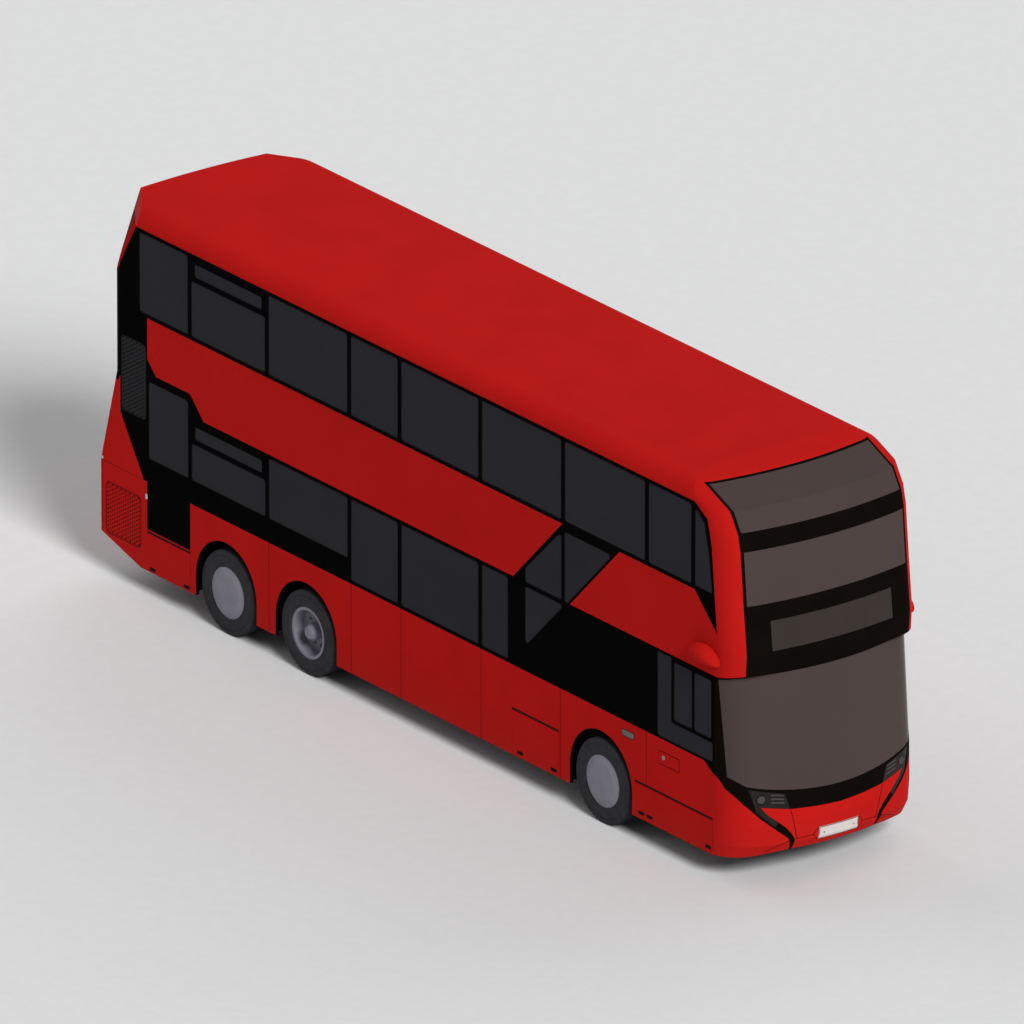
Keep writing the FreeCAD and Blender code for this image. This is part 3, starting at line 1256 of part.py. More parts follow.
def seat_places():
    """Every passenger seat: (station, floor height, side)."""
    places = []
    x = aft(-3000)
    while x < fwd(1500):
        for side in (-1, 1):
            over_stairs = side < 0 and WELL_REAR_X - 560 < x < STAIR_TOP_X + 200
            if not over_stairs:
                places.append((x, UPPER_FLOOR_Z, side))
        x += SEAT_PITCH
    for i in range(4):
        for side in (-1, 1):
            places.append((aft(-2960 + i * 830), RAISED_FLOOR_Z, side))
    for i in range(3):
        places.append((RISER_X + 420.0 + i * 800.0, FLOOR_Z, 1))
        if i < 2:
            places.append((RISER_X + 420.0 + i * 800.0, FLOOR_Z, -1))
    return places


def seats():
    """All passenger seats and the driver's seat."""
    room = house_clearance()
    solids = [seat(x, z, side).cut(room) for x, z, side in seat_places()]
    solids.append(seat(fwd(1080), FLOOR_Z, -1, 480.0, 960.0))
    return group(solids)


def cab():
    """Partition behind the driver, dashboard and steering wheel."""
    z0 = FLOOR_Z + SEAM
    back = box(fwd(860), fwd(890), -INNER + SEAM, -330, z0, DECK_Z - SEAM)
    side = box(fwd(860), fwd(1650), -360, -330, z0, WAIST_Z)
    partition = fuse([back, side])
    dash = prism_xz([(fwd(1900), z0), (fwd(2150), z0), (fwd(2280), 950.0), (fwd(2200), 1120.0),
                     (fwd(1960), 1060.0)], -1000.0, -260.0)
    centre = V(fwd(1720), -720.0, 1120.0)
    tilt = V(-0.5, 0, 0.866)
    wheel = Part.makeTorus(225.0, 16.0, centre, tilt)
    hub = rod(centre - tilt * 20, centre + tilt * 20, 45.0)
    spokes = []
    for angle in (90, 210, 330):
        turn = math.radians(angle)
        across = V(0, 1, 0) * math.cos(turn) + V(0.866, 0, 0.5) * math.sin(turn)
        spokes.append(rod(centre, centre + across * 222, 12.0))
    column = rod(centre, V(fwd(2040), -720.0, 700.0), 32.0)
    return group([partition, fuse([dash, wheel, hub, column] + spokes)])


POLE_R = 16.0
POLE_Y = 325.0


def handrails():
    """Stanchions beside both gangways, and the guard rail of the stair well."""
    poles = []
    for x in (RISER_X + 300.0, RISER_X + 1100.0, RISER_X + 1900.0, FRONT_X - 900.0):
        for side in (-1, 1):
            if side < 0 and x > STAIR_FOOT_X - 700:
                continue
            poles.append(rod(V(x, side * POLE_Y, FLOOR_Z + SEAM), V(x, side * POLE_Y, DECK_Z),
                             POLE_R))
    for x in (aft(-2230), aft(-570)):
        for side in (-1, 1):
            poles.append(rod(V(x, side * POLE_Y, RAISED_FLOOR_Z + SEAM),
                             V(x, side * POLE_Y, DECK_Z), POLE_R))
    guard_y = STAIR_Y1 + 70.0
    guard_z = UPPER_FLOOR_Z + SEAM
    guard = [rod(V(x, guard_y, guard_z), V(x, guard_y, guard_z + 900), POLE_R)
             for x in (WELL_REAR_X - 60, (WELL_REAR_X + STAIR_TOP_X) / 2, STAIR_TOP_X - 40)]
    guard.append(rod(V(WELL_REAR_X - 60, guard_y, guard_z + 900),
                     V(STAIR_TOP_X - 40, guard_y, guard_z + 900), POLE_R))
    guard.append(rod(V(WELL_REAR_X - 60, guard_y, guard_z + 450),
                     V(STAIR_TOP_X - 40, guard_y, guard_z + 450), POLE_R))
    back_rail = [rod(V(WELL_REAR_X - 60, guard_y, guard_z + z),
                     V(WELL_REAR_X - 60, -INNER + 20, guard_z + z), POLE_R) for z in (450, 900)]
    return group(poles + [fuse(guard + back_rail)])


# ---------------------------------------------------------------- small outer pieces
POD = (fwd(1908), 2618.0, 262.0, 112.0)     # centre station, height, half length, radius
FRONT_PLATE = (530.0, 150.0, 490.0)         # width, height, middle height
REAR_PLATE = (530.0, 111.0, 612.0)
PLATE_T = 5.0


def camera_pods():
    """Rounded camera housings that stand off the upper front corners."""
    x, z, half, radius = POD
    steps = 8
    profile = []
    for i in range(steps + 1):
        turn = math.pi * i / steps
        along = x - half * math.cos(turn)
        profile.append(V(along, 0, max(radius * math.sin(turn) ** 0.8, 4.0)))
    ends = [V(profile[-1].x, 0, 0), V(profile[0].x, 0, 0)]
    outline = Part.Face(Part.makePolygon(profile + ends + profile[:1]))
    body = outline.revolve(V(x, 0, 0), V(1, 0, 0), 360)
    body.translate(V(0, HALF + 45.0, z))
    pod = body.common(box(x - 400, x + 400, HALF + SEAM, HALF + 300, z - 300, z + 300))
    return group([pod, mirrored(pod)])


def number_plates():
    """Blank plates: the front one follows the apron, the rear one lies under the engine cover."""
    width, height, z = FRONT_PLATE
    skin = thin_nose(LOWER_NOSE, LOWER_NOSE_R, LOWER_CORNER_R, -PLATE_T - SEAM, PLATE_T)
    front = skin.common(mask_zone(width / 2, z - height / 2, z + height / 2))
    width, height, z = REAR_PLATE
    rear = box(TAIL_X - PLATE_T - SEAM, TAIL_X - SEAM, -width / 2, width / 2, z - height / 2,
               z + height / 2)
    return group([front, rear])


# ---------------------------------------------------------------- write the parts
def build():
    """Every node's shape by name."""
    nodes = {
        "chassis_frame": chassis_frame(),
        "lower_floor": lower_floor(),
        "upper_floor": upper_floor(),
        "wheelhouses": wheelhouses(),
        "roof": roof(),
        "front_corners": front_corners(),
        "upper_mask": upper_mask(),
        "lower_mask": lower_mask(),
        "front_apron": front_apron(),
        "rear_lower": rear_lower(),
        "rear_upper": rear_upper(),
        "windscreens": windscreens(),
        "rear_window": rear_window(),
        "display_panel": display_panel(),
        "headlamps": headlamps(),
        "tail_lamps": tail_lamps(),
        "side_grilles": side_grilles(),
        "number_plates": number_plates(),
        "camera_pods": camera_pods(),
        "staircase": staircase(),
        "seats": seats(),
        "cab": cab(),
        "handrails": handrails(),
        "engine_block": engine_block(),
        "axles": axles(),
        "engine_cover": engine_cover(),
    }
    for side, name in ((-1, "right"), (1, "left")):
        nodes["skirt_" + name] = skirt(side)
        nodes["lower_band_" + name] = lower_band(side)
        nodes["mid_panel_" + name] = mid_panel(side)
        nodes["upper_band_" + name] = upper_band(side)
        nodes["glazing_" + name] = side_glazing(side)
        nodes["knuckle_" + name] = knuckle(side)
        for place, axle_x, twin in (("front", FRONT_X, False), ("drive", DRIVE_X, True),
                                    ("tag", TAG_X, False)):
            tyres = [tyre(axle_x, side)]
            if twin:
                tyres.append(tyre(axle_x, side, TYRE_W + TWIN_GAP))
            nodes["tyre_" + place + "_" + name] = group(tyres)
            nodes["rim_" + place + "_" + name] = rim(axle_x, side, twin)
    for name, sizes in FLAPS.items():
        nodes[name] = flap(*sizes)
    for front, name in ((True, "front"), (False, "rear")):
        leaf, pane = door_leaf(front)
        nodes["door_leaf_" + name] = leaf
        nodes["door_glass_" + name] = pane
    return nodes


def main():
    """Write one STEP file for each node."""
    os.makedirs("parts", exist_ok=True)
    for name, shape in build().items():
        shape.exportStep("parts/" + name + ".step")
        print(name, len(shape.Solids), shape.isValid(), round(shape.Volume / 1e9, 4))


main()
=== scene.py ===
"""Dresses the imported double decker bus: finishes, tyres, lamps, trim, seats, light and camera."""

import logging
import math
from dataclasses import dataclass
from enum import Enum
from typing import Any, Callable, Dict, Iterable, List, Optional, Sequence, Tuple

import bmesh
import bpy
from mathutils import Matrix, Vector
from mathutils.bvhtree import BVHTree

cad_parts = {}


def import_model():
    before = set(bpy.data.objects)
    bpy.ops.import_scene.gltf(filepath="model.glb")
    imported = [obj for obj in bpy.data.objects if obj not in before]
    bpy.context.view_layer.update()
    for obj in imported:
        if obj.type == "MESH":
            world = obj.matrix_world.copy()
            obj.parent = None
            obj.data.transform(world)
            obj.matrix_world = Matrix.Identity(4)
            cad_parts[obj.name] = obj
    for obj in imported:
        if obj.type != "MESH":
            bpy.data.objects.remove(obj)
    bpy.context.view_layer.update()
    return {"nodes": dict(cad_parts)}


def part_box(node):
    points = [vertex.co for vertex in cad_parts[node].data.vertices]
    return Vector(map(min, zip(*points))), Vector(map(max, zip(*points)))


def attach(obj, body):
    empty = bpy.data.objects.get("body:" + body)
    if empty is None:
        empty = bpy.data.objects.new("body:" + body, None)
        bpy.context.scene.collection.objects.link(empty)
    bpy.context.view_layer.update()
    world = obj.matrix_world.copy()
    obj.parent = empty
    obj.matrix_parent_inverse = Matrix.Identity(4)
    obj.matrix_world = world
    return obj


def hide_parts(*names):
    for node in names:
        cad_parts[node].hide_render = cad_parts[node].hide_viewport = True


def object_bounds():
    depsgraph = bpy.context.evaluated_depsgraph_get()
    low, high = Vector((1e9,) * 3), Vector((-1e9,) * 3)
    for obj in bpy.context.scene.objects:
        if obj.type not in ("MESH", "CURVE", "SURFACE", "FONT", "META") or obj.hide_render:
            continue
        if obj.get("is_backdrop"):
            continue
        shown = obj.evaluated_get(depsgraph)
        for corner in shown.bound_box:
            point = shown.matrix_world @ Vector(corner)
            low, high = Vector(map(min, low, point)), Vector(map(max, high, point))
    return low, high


LOG = logging.getLogger("bus")
MADE: Dict[str, bpy.types.Material] = {}    # finishes made so far; the frame has its own
Colour = Tuple[float, float, float]
Spot = Tuple[float, float]                  # a place on a flat side, or in a section
Line = Tuple[Spot, Spot]
Mesh = bmesh.types.BMesh
Verts = List[bmesh.types.BMVert]

SINK = 0.004        # how far thin pieces reach into what they lie on
THIN = 0.0008       # how far the thinnest pieces stand off it
MERGE = 1e-5        # vertices closer than this are one


class Side(Enum):
    """The two sides of the bus and the sign of their Y."""

    RIGHT = -1
    LEFT = 1

    @property
    def label(self) -> str:
        """Suffix that this side's nodes carry."""
        return self.name.lower()

    @classmethod
    def of(cls, y: float) -> "Side":
        """Side that a place with this Y is on."""
        return cls.LEFT if y > 0 else cls.RIGHT


# ------------------------------------------------------------------ finishes
def linear(red: int, green: int, blue: int) -> Colour:
    """Turns an 8-bit display colour into the linear one that shaders use.

    Args:
        red: display red, 0 to 255.
        green: display green.
        blue: display blue.

    Returns:
        The linear colour.
    """
    shares = (value / 255.0 for value in (red, green, blue))
    return tuple(s / 12.92 if s <= 0.04045 else ((s + 0.055) / 1.055) ** 2.4 for s in shares)


def add_node(tree: bpy.types.NodeTree, kind: str, inputs: Dict[Any, Any]) -> bpy.types.Node:
    """Adds a shader node.

    Args:
        tree: the node tree.
        kind: the node's type, without its ShaderNode prefix.
        inputs: for each input, the socket that feeds it or its plain value.

    Returns:
        The node.
    """
    node = tree.nodes.new(f"ShaderNode{kind}")
    for name, given in inputs.items():
        if isinstance(given, bpy.types.NodeSocket):
            tree.links.new(given, node.inputs[name])
        else:
            node.inputs[name].default_value = given
    return node


@dataclass(frozen=True)
class Finish:
    """One surface finish: a principled shader with mottled colour and fine relief.

    Args:
        name: the material's name.
        colour: its linear colour.
        roughness: how dull it is.
        metallic: share of metal.
        coat: weight of a clear coat.
        specular: level of its reflections.
        alpha: how much it covers.
        sheen: weight of a cloth's sheen.
        mottle: share by which its colour varies.
        mottle_scale: how fine that pattern is.
        relief: strength of its fine relief.
        relief_scale: how fine the relief is.
        grime: how much road dirt lies on its foot.
        grime_top: height in metres up to which the dirt fades.
    """

    name: str
    colour: Colour
    roughness: float = 0.5
    metallic: float = 0.0
    coat: float = 0.0
    specular: float = 0.5
    alpha: float = 1.0
    sheen: float = 0.0
    mottle: float = 0.05
    mottle_scale: float = 6.0
    relief: float = 0.0
    relief_scale: float = 200.0
    grime: float = 0.0
    grime_top: float = 0.9

    def material(self) -> bpy.types.Material:
        """Builds the material once and gives the same one after that.

        Returns:
            The finished material.
        """
        if self.name in MADE:
            return MADE[self.name]
        made = MADE[self.name] = bpy.data.materials.new(self.name)
        made.use_nodes = True
        tree = made.node_tree
        shader = next(n for n in tree.nodes if n.type == "BSDF_PRINCIPLED")
        for name, value in (("Metallic", self.metallic), ("Roughness", self.roughness),
                            ("Coat Weight", self.coat), ("Coat Roughness", 0.05),
                            ("Specular IOR Level", self.specular), ("Alpha", self.alpha),
                            ("Sheen Weight", self.sheen)):
            shader.inputs[name].default_value = value
        where = tree.nodes.new("ShaderNodeTexCoord").outputs["Object"]
        tree.links.new(self._colour(tree, where), shader.inputs["Base Color"])
        if self.relief:
            grain = add_node(tree, "TexNoise", {"Scale": self.relief_scale, "Detail": 3.0,
                                                "Vector": where})
            bump = add_node(tree, "Bump", {"Strength": self.relief, "Distance": 0.002,
                                           "Height": grain.outputs["Fac"]})
            tree.links.new(bump.outputs["Normal"], shader.inputs["Normal"])
        return made

    def _colour(self, tree: bpy.types.NodeTree,
                where: bpy.types.NodeSocket) -> bpy.types.NodeSocket:
        """Makes a slightly uneven colour, darker towards the road if the finish has grime.

        Args:
            tree: the material's node tree.
            where: socket of the object coordinates.

        Returns:
            Socket of the colour.
        """
        noise = add_node(tree, "TexNoise", {"Scale": self.mottle_scale, "Detail": 6.0,
                                            "Vector": where})
        ramp = add_node(tree, "ValToRGB", {"Fac": noise.outputs["Fac"]})
        for stop, position, share in zip(ramp.color_ramp.elements, (0.35, 0.65),
                                         (1.0 - self.mottle, 1.0 + self.mottle)):
            stop.position = position
            stop.color = (*(min(c * share, 1.0) for c in self.colour), 1.0)
        if not self.grime:
            return ramp.outputs["Color"]
        split = add_node(tree, "SeparateXYZ", {"Vector": where})
        fade = add_node(tree, "MapRange", {
            "From Min": 0.25, "From Max": self.grime_top, "To Min": self.grime, "To Max": 0.0,
            "Value": split.outputs["Z"]})
        uneven = add_node(tree, "Math", {0: fade.outputs["Result"], 1: noise.outputs["Fac"]})
        uneven.operation = "MULTIPLY"
        mix = add_node(tree, "MixRGB", {"Fac": uneven.outputs[0], "Color1": ramp.outputs["Color"],
                                        "Color2": (0.06, 0.045, 0.035, 1.0)})
        return mix.outputs["Color"]


@dataclass(frozen=True)
class Moquette(Finish):
    """Woven seat cloth: a small check of two colours with a pile.

    Args:
        second: its second linear colour.
    """

    second: Colour = (0.2, 0.2, 0.2)
    check: float = 26.0

    def _colour(self, tree: bpy.types.NodeTree,
                where: bpy.types.NodeSocket) -> bpy.types.NodeSocket:
        """Crosses two waves as the woven check.

        Args:
            tree: the material's node tree.
            where: socket of the object coordinates.

        Returns:
            Socket of the colour.
        """
        waves = [add_node(tree, "TexWave", {"Scale": self.check, "Distortion": 0.6,
                                            "Vector": where}) for _ in range(2)]
        waves[1].bands_direction = "Y"
        both = add_node(tree, "Math", {0: waves[0].outputs["Fac"], 1: waves[1].outputs["Fac"]})
        both.operation = "MULTIPLY"
        mix = add_node(tree, "MixRGB", {"Fac": both.outputs[0], "Color1": (*self.colour, 1.0),
                                        "Color2": (*self.second, 1.0)})
        return mix.outputs["Color"]


RED = Finish("coach_red", linear(188, 27, 24), roughness=0.42, specular=0.004, mottle=0.03,
             mottle_scale=1.4, relief=0.04, relief_scale=35.0, grime=0.18, grime_top=0.75)
RED_MATT = Finish("coach_red_matt", linear(186, 27, 25), roughness=0.7, specular=0.0,
                  mottle=0.03, mottle_scale=1.4)
BLACK = Finish("gloss_black", linear(5, 5, 6), roughness=0.4, specular=0.003, mottle=0.2,
               mottle_scale=3.0)
FRONT_BLACK = Finish("front_black", linear(16, 12, 9), roughness=0.4, specular=0.003, mottle=0.1,
                     mottle_scale=3.0)
SIDE_GLASS = Finish("side_glass", linear(45, 45, 50), roughness=0.2, specular=0.02,
                    alpha=0.94, mottle_scale=0.9)
SCREEN_GLASS = Finish("front_glass", linear(74, 63, 61), roughness=0.2, specular=0.03,
                      mottle=0.03, mottle_scale=0.9)
TYRE = Finish("tyre_rubber", linear(54, 53, 57), roughness=0.85, specular=0.1, mottle=0.12,
              mottle_scale=14.0, relief=0.3, relief_scale=260.0)
WHEEL = Finish("wheel_paint", linear(130, 129, 139), specular=0.2, mottle_scale=9.0, relief=0.05)
CHASSIS = Finish("chassis_paint", linear(34, 34, 36), roughness=0.6, specular=0.2, mottle=0.25,
                 relief=0.2, relief_scale=90.0)
FLOOR = Finish("vinyl_floor", linear(84, 86, 92), roughness=0.65, mottle=0.18, mottle_scale=70.0)
LINER = Finish("arch_liner", linear(12, 12, 13), roughness=0.85, specular=0.05, mottle=0.25,
               relief=0.3, relief_scale=120.0)
INTERIOR = Finish("interior_trim", linear(150, 150, 152), roughness=0.55, mottle=0.06,
                  relief=0.15)
RAIL = Finish("stanchion_yellow", linear(214, 158, 22), roughness=0.4, coat=0.3, mottle=0.06)
GRILLE = Finish("mesh_black", linear(10, 10, 11), roughness=0.6, specular=0.05, mottle=0.2)
GRILLE_WIRE = Finish("mesh_wire", linear(26, 26, 29), specular=0.1, mottle=0.15)
PLATE = Finish("blank_plate", linear(214, 204, 200), specular=0.1, mottle=0.02)
DISPLAY = Finish("display_glass", linear(56, 49, 45), roughness=0.2, specular=0.05, mottle=0.06,
                 mottle_scale=2.0)
LENS = Finish("smoked_lens", linear(36, 32, 30), roughness=0.25, specular=0.08, mottle=0.15)
LAMP = Finish("lamp_clear", linear(112, 102, 98), roughness=0.25, specular=0.1, mottle=0.1)
FRONT_LAMP = Finish("lamp_smoked", linear(74, 68, 64), roughness=0.25, specular=0.05, mottle=0.1)
TAIL_LENS = Finish("lens_red", linear(176, 12, 12), roughness=0.2, specular=0.1, mottle=0.15,
                   mottle_scale=60.0)
AMBER_LENS = Finish("lens_amber", linear(214, 108, 12), roughness=0.2, specular=0.3,
                    mottle=0.15, mottle_scale=60.0)
CLEAR_LENS = Finish("lens_clear", linear(188, 188, 192), roughness=0.2, specular=0.3,
                    mottle=0.1, mottle_scale=60.0)
SEAM = Finish("seam_shadow", linear(52, 9, 9), roughness=0.7, specular=0.05, mottle=0.1)
DARK = Finish("dark_trim", linear(10, 8, 8), roughness=0.6, specular=0.05, mottle=0.2)
RUBBER = Finish("gasket_rubber", linear(9, 9, 10), roughness=0.8, specular=0.05, mottle=0.2)
STEEL = Finish("zinc_steel", linear(150, 150, 156), roughness=0.45, metallic=0.6, mottle=0.15,
               mottle_scale=30.0)
SEAT_SHELL = Finish("seat_shell", linear(60, 62, 70), mottle=0.08)
SEAT_CLOTH = Moquette("seat_moquette", linear(34, 48, 96), roughness=0.9, sheen=0.4,
                      relief=0.4, relief_scale=500.0, second=linear(150, 34, 34))
PALE_FLOOR = Finish("pale_floor", (0.80, 0.80, 0.80), roughness=0.9, specular=0.1, mottle=0.01)

NODE_FINISH: Dict[Finish, Tuple[str, ...]] = {     # how the names of its nodes start
    RED: ("roof", "front_corners", "front_apron", "rear_lower", "camera_pods", "engine_cover",
          "skirt_", "mid_panel_", "flap_", "filler_flap_"),
    BLACK: ("rear_upper", "lower_band_", "upper_band_", "door_leaf_"),
    FRONT_BLACK: ("upper_mask", "lower_mask"),
    SIDE_GLASS: ("rear_window", "glazing_", "door_glass_"),
    SCREEN_GLASS: ("windscreens",),
    DISPLAY: ("display_panel",),
    LENS: ("headlamps", "tail_lamps"),
    GRILLE: ("side_grilles",),
    PLATE: ("number_plates",),
    WHEEL: ("rim_",),
    TYRE: ("tyre_",),
    LINER: ("wheelhouses",),
    CHASSIS: ("chassis_frame", "engine_block", "axles", "knuckle_"),
    FLOOR: ("lower_floor", "upper_floor"),
    INTERIOR: ("staircase", "cab"),
    RAIL: ("handrails",),
    SEAT_CLOTH: ("seats",),
}


# ------------------------------------------------------------------ mesh helpers
def finished(mesh: Mesh, name: str, finish: Finish,
             body: str = "body", sharp: Optional[float] = None) -> bpy.types.Object:
    """Turns a mesh into a piece that rides on a body.

    Args:
        mesh: the modelled mesh, in metres in the shared frame; it is freed.
        name: the piece's name.
        finish: its finish.
        body: the body that carries it.
        sharp: for a smooth piece, the angle in degrees from which its edges stay sharp.

    Returns:
        The new object.
    """
    bmesh.ops.recalc_face_normals(mesh, faces=mesh.faces)
    data = bpy.data.meshes.new(name)
    mesh.to_mesh(data)
    mesh.free()
    if sharp is not None:
        data.shade_smooth()
        data.set_sharp_from_angle(angle=math.radians(sharp))
    piece = bpy.data.objects.new(name, data)
    bpy.context.scene.collection.objects.link(piece)
    data.materials.append(finish.material())
    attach(piece, body)
    return piece


def soften(piece: bpy.types.Object, width: float) -> None:
    """Rounds a piece's sharp edges with a bevel.

    Args:
        piece: the object.
        width: the bevel's width in metres.
    """
    bevel = piece.modifiers.new("edge", "BEVEL")
    bevel.width = width
    bevel.segments = 2
    bevel.limit_method = "ANGLE"
    bevel.angle_limit = math.radians(35)


def box_of(node: str) -> Tuple[Vector, Vector]:
    """Lowest and highest corner of a CAD node.

    Args:
        node: the node's name.

    Returns:
        The two corners.
    """
    low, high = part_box(node)
    return Vector(low), Vector(high)


def around(points: Sequence[Any]) -> List[Tuple[Any, Any]]:
    """Pairs each point of a closed outline with the next.

    Args:
        points: the outline.

    Returns:
        Its edges.
    """
    return list(zip(points, points[1:] + points[:1]))


def add_box(mesh: Mesh, low: Sequence[float], high: Sequence[float]) -> None:
    """Adds a box between two corners.

    Args:
        mesh: the mesh that it joins.
        low: lowest corner.
        high: highest corner.
    """
    low, high = Vector(low), Vector(high)
    place = Matrix.Translation((low + high) / 2) @ Matrix.Diagonal((*(high - low), 1.0))
    bmesh.ops.create_cube(mesh, size=1.0, matrix=place)


def add_rod(mesh: Mesh, start: Sequence[float], end: Sequence[float], radius: float,
            sides: int = 16, end_radius: Optional[float] = None) -> None:
    """Adds a round or faceted bar between two points.

    Args:
        mesh: the mesh that it joins.
        start: middle of its first end.
        end: middle of its other end.
        radius: its radius at the first end.
        sides: its number of sides.
        end_radius: its radius at the other end, if different.
    """
    start, end = Vector(start), Vector(end)
    along = end - start
    turn = along.to_track_quat("Z", "Y").to_matrix().to_4x4()
    bmesh.ops.create_cone(mesh, cap_ends=True, segments=sides, radius1=radius,
                          radius2=radius if end_radius is None else end_radius,
                          depth=along.length,
                          matrix=Matrix.Translation((start + end) / 2) @ turn)


def add_turned(mesh: Mesh, section: Sequence[Vector], centre: Vector, axis: Vector, steps: int,
               closed: bool = True) -> Verts:
    """Adds a ring turned about an axis.

    Args:
        mesh: the mesh that it joins.
        section: points of its section, from the centre.
        centre: a point on the axis.
        axis: the axis's direction.
        steps: number of steps round the axis.
        closed: whether the section closes on itself.

    Returns:
        Its vertices.
    """
    before = set(mesh.verts)
    verts = [mesh.verts.new(centre + point) for point in section]
    edges = [mesh.edges.new(pair) for pair in (around(verts) if closed else zip(verts, verts[1:]))]
    bmesh.ops.spin(mesh, geom=verts + edges, cent=centre, axis=axis, angle=math.tau, steps=steps,
                   use_merge=True)
    return [v for v in mesh.verts if v not in before]


def bridge(mesh: Mesh, first: Verts, second: Verts) -> None:
    """Joins two loops of as many vertices with a ring of faces.

    Args:
        mesh: the mesh that they are in.
        first: one loop.
        second: the other.
    """
    for k, corner in enumerate(first):
        n = (k + 1) % len(first)
        mesh.faces.new((corner, first[n], second[n], second[k]))


def add_tube(mesh: Mesh, rows: Iterable[Iterable[Sequence[float]]], closed: bool = False) -> None:
    """Adds a solid through outlines of as many points each.

    Args:
        mesh: the mesh that it joins.
        rows: the outlines in order.
        closed: whether the last joins the first; otherwise both are capped.
    """
    loops = [[mesh.verts.new(point) for point in row] for row in rows]
    for first, second in around(loops) if closed else zip(loops, loops[1:]):
        bridge(mesh, first, second)
    if not closed:
        mesh.faces.new(loops[0])
        mesh.faces.new(loops[-1][::-1])


def add_gasket(mesh: Mesh, loop: Sequence[Spot], width: float,
               place: Callable[[Vector, bool], Sequence[float]]) -> None:
    """Adds a closed strip along an outline on a flat face.

    Args:
        mesh: the mesh that it joins.
        loop: the outline.
        width: the strip's width.
        place: turns a spot into a point in space, at the strip's top or else at its foot.
    """
    if sum(a[0] * b[1] - b[0] * a[1] for a, b in around(loop)) < 0:
        loop = loop[::-1]
    rows = []
    for i, spot in enumerate(loop):
        along = (Vector(loop[(i + 1) % len(loop)]) - Vector(loop[i - 1])).normalized()
        out = Vector((along.y, -along.x)) * width * 0.5
        near, far = Vector(spot) - out, Vector(spot) + out
        rows.append([place(near, False), place(near, True), place(far, True), place(far, False)])
    add_tube(mesh, rows, closed=True)


def line_outline(start: Spot, end: Spot, width: float) -> List[Spot]:
    """Corners of a straight band round a line.

    Args:
        start: first end of the line.
        end: its other end.
        width: the band's width.

    Returns:
        Four corners.
    """
    across = Vector((end[1] - start[1], start[0] - end[0])).normalized() * (width / 2)
    a, b = Vector(start), Vector(end)
    return [tuple(a + across), tuple(b + across), tuple(b - across), tuple(a - across)]


def round_outline(x0: float, x1: float, z0: float, z1: float, radius: float,
                  steps: int = 5) -> List[Spot]:
    """Corners of an upright rectangle with round corners.

    Args:
        x0: first limit along the face.
        x1: other limit.
        z0: foot.
        z1: head.
        radius: corner radius.
        steps: sections of each corner.

    Returns:
        Its outline.
    """
    points = []
    for cx, cz, start in ((x1 - radius, z1 - radius, 0.0), (x0 + radius, z1 - radius, 90.0),
                          (x0 + radius, z0 + radius, 180.0), (x1 - radius, z0 + radius, 270.0)):
        for i in range(steps + 1):
            turn = math.radians(start + 90.0 * i / steps)
            points.append((cx + radius * math.cos(turn), cz + radius * math.sin(turn)))
    return points


def merged_copy(node: str) -> Mesh:
    """Copy of a CAD node's mesh with its double vertices merged.

    Args:
        node: the node's name.

    Returns:
        The copy, for the caller to free.
    """
    mesh = bmesh.new()
    mesh.from_mesh(bpy.data.objects[node].data)
    bmesh.ops.remove_doubles(mesh, verts=mesh.verts, dist=MERGE)
    return mesh


def loose_parts(node: str) -> List[Tuple[Vector, Vector]]:
    """Boxes of the separate solids of a CAD node.

    Args:
        node: the node's name.

    Returns:
        Lowest and highest corner of each, ordered along the bus.
    """
    mesh = merged_copy(node)
    left = set(mesh.verts)
    boxes = []
    while left:
        stack = [left.pop()]
        low, high = stack[0].co.copy(), stack[0].co.copy()
        while stack:
            vert = stack.pop()
            for axis in range(3):
                low[axis] = min(low[axis], vert.co[axis])
                high[axis] = max(high[axis], vert.co[axis])
            for edge in vert.link_edges:
                other = edge.other_vert(vert)
                if other in left:
                    left.remove(other)
                    stack.append(other)
        boxes.append((low, high))
    mesh.free()
    return sorted(boxes, key=lambda pair: tuple(pair[0]))


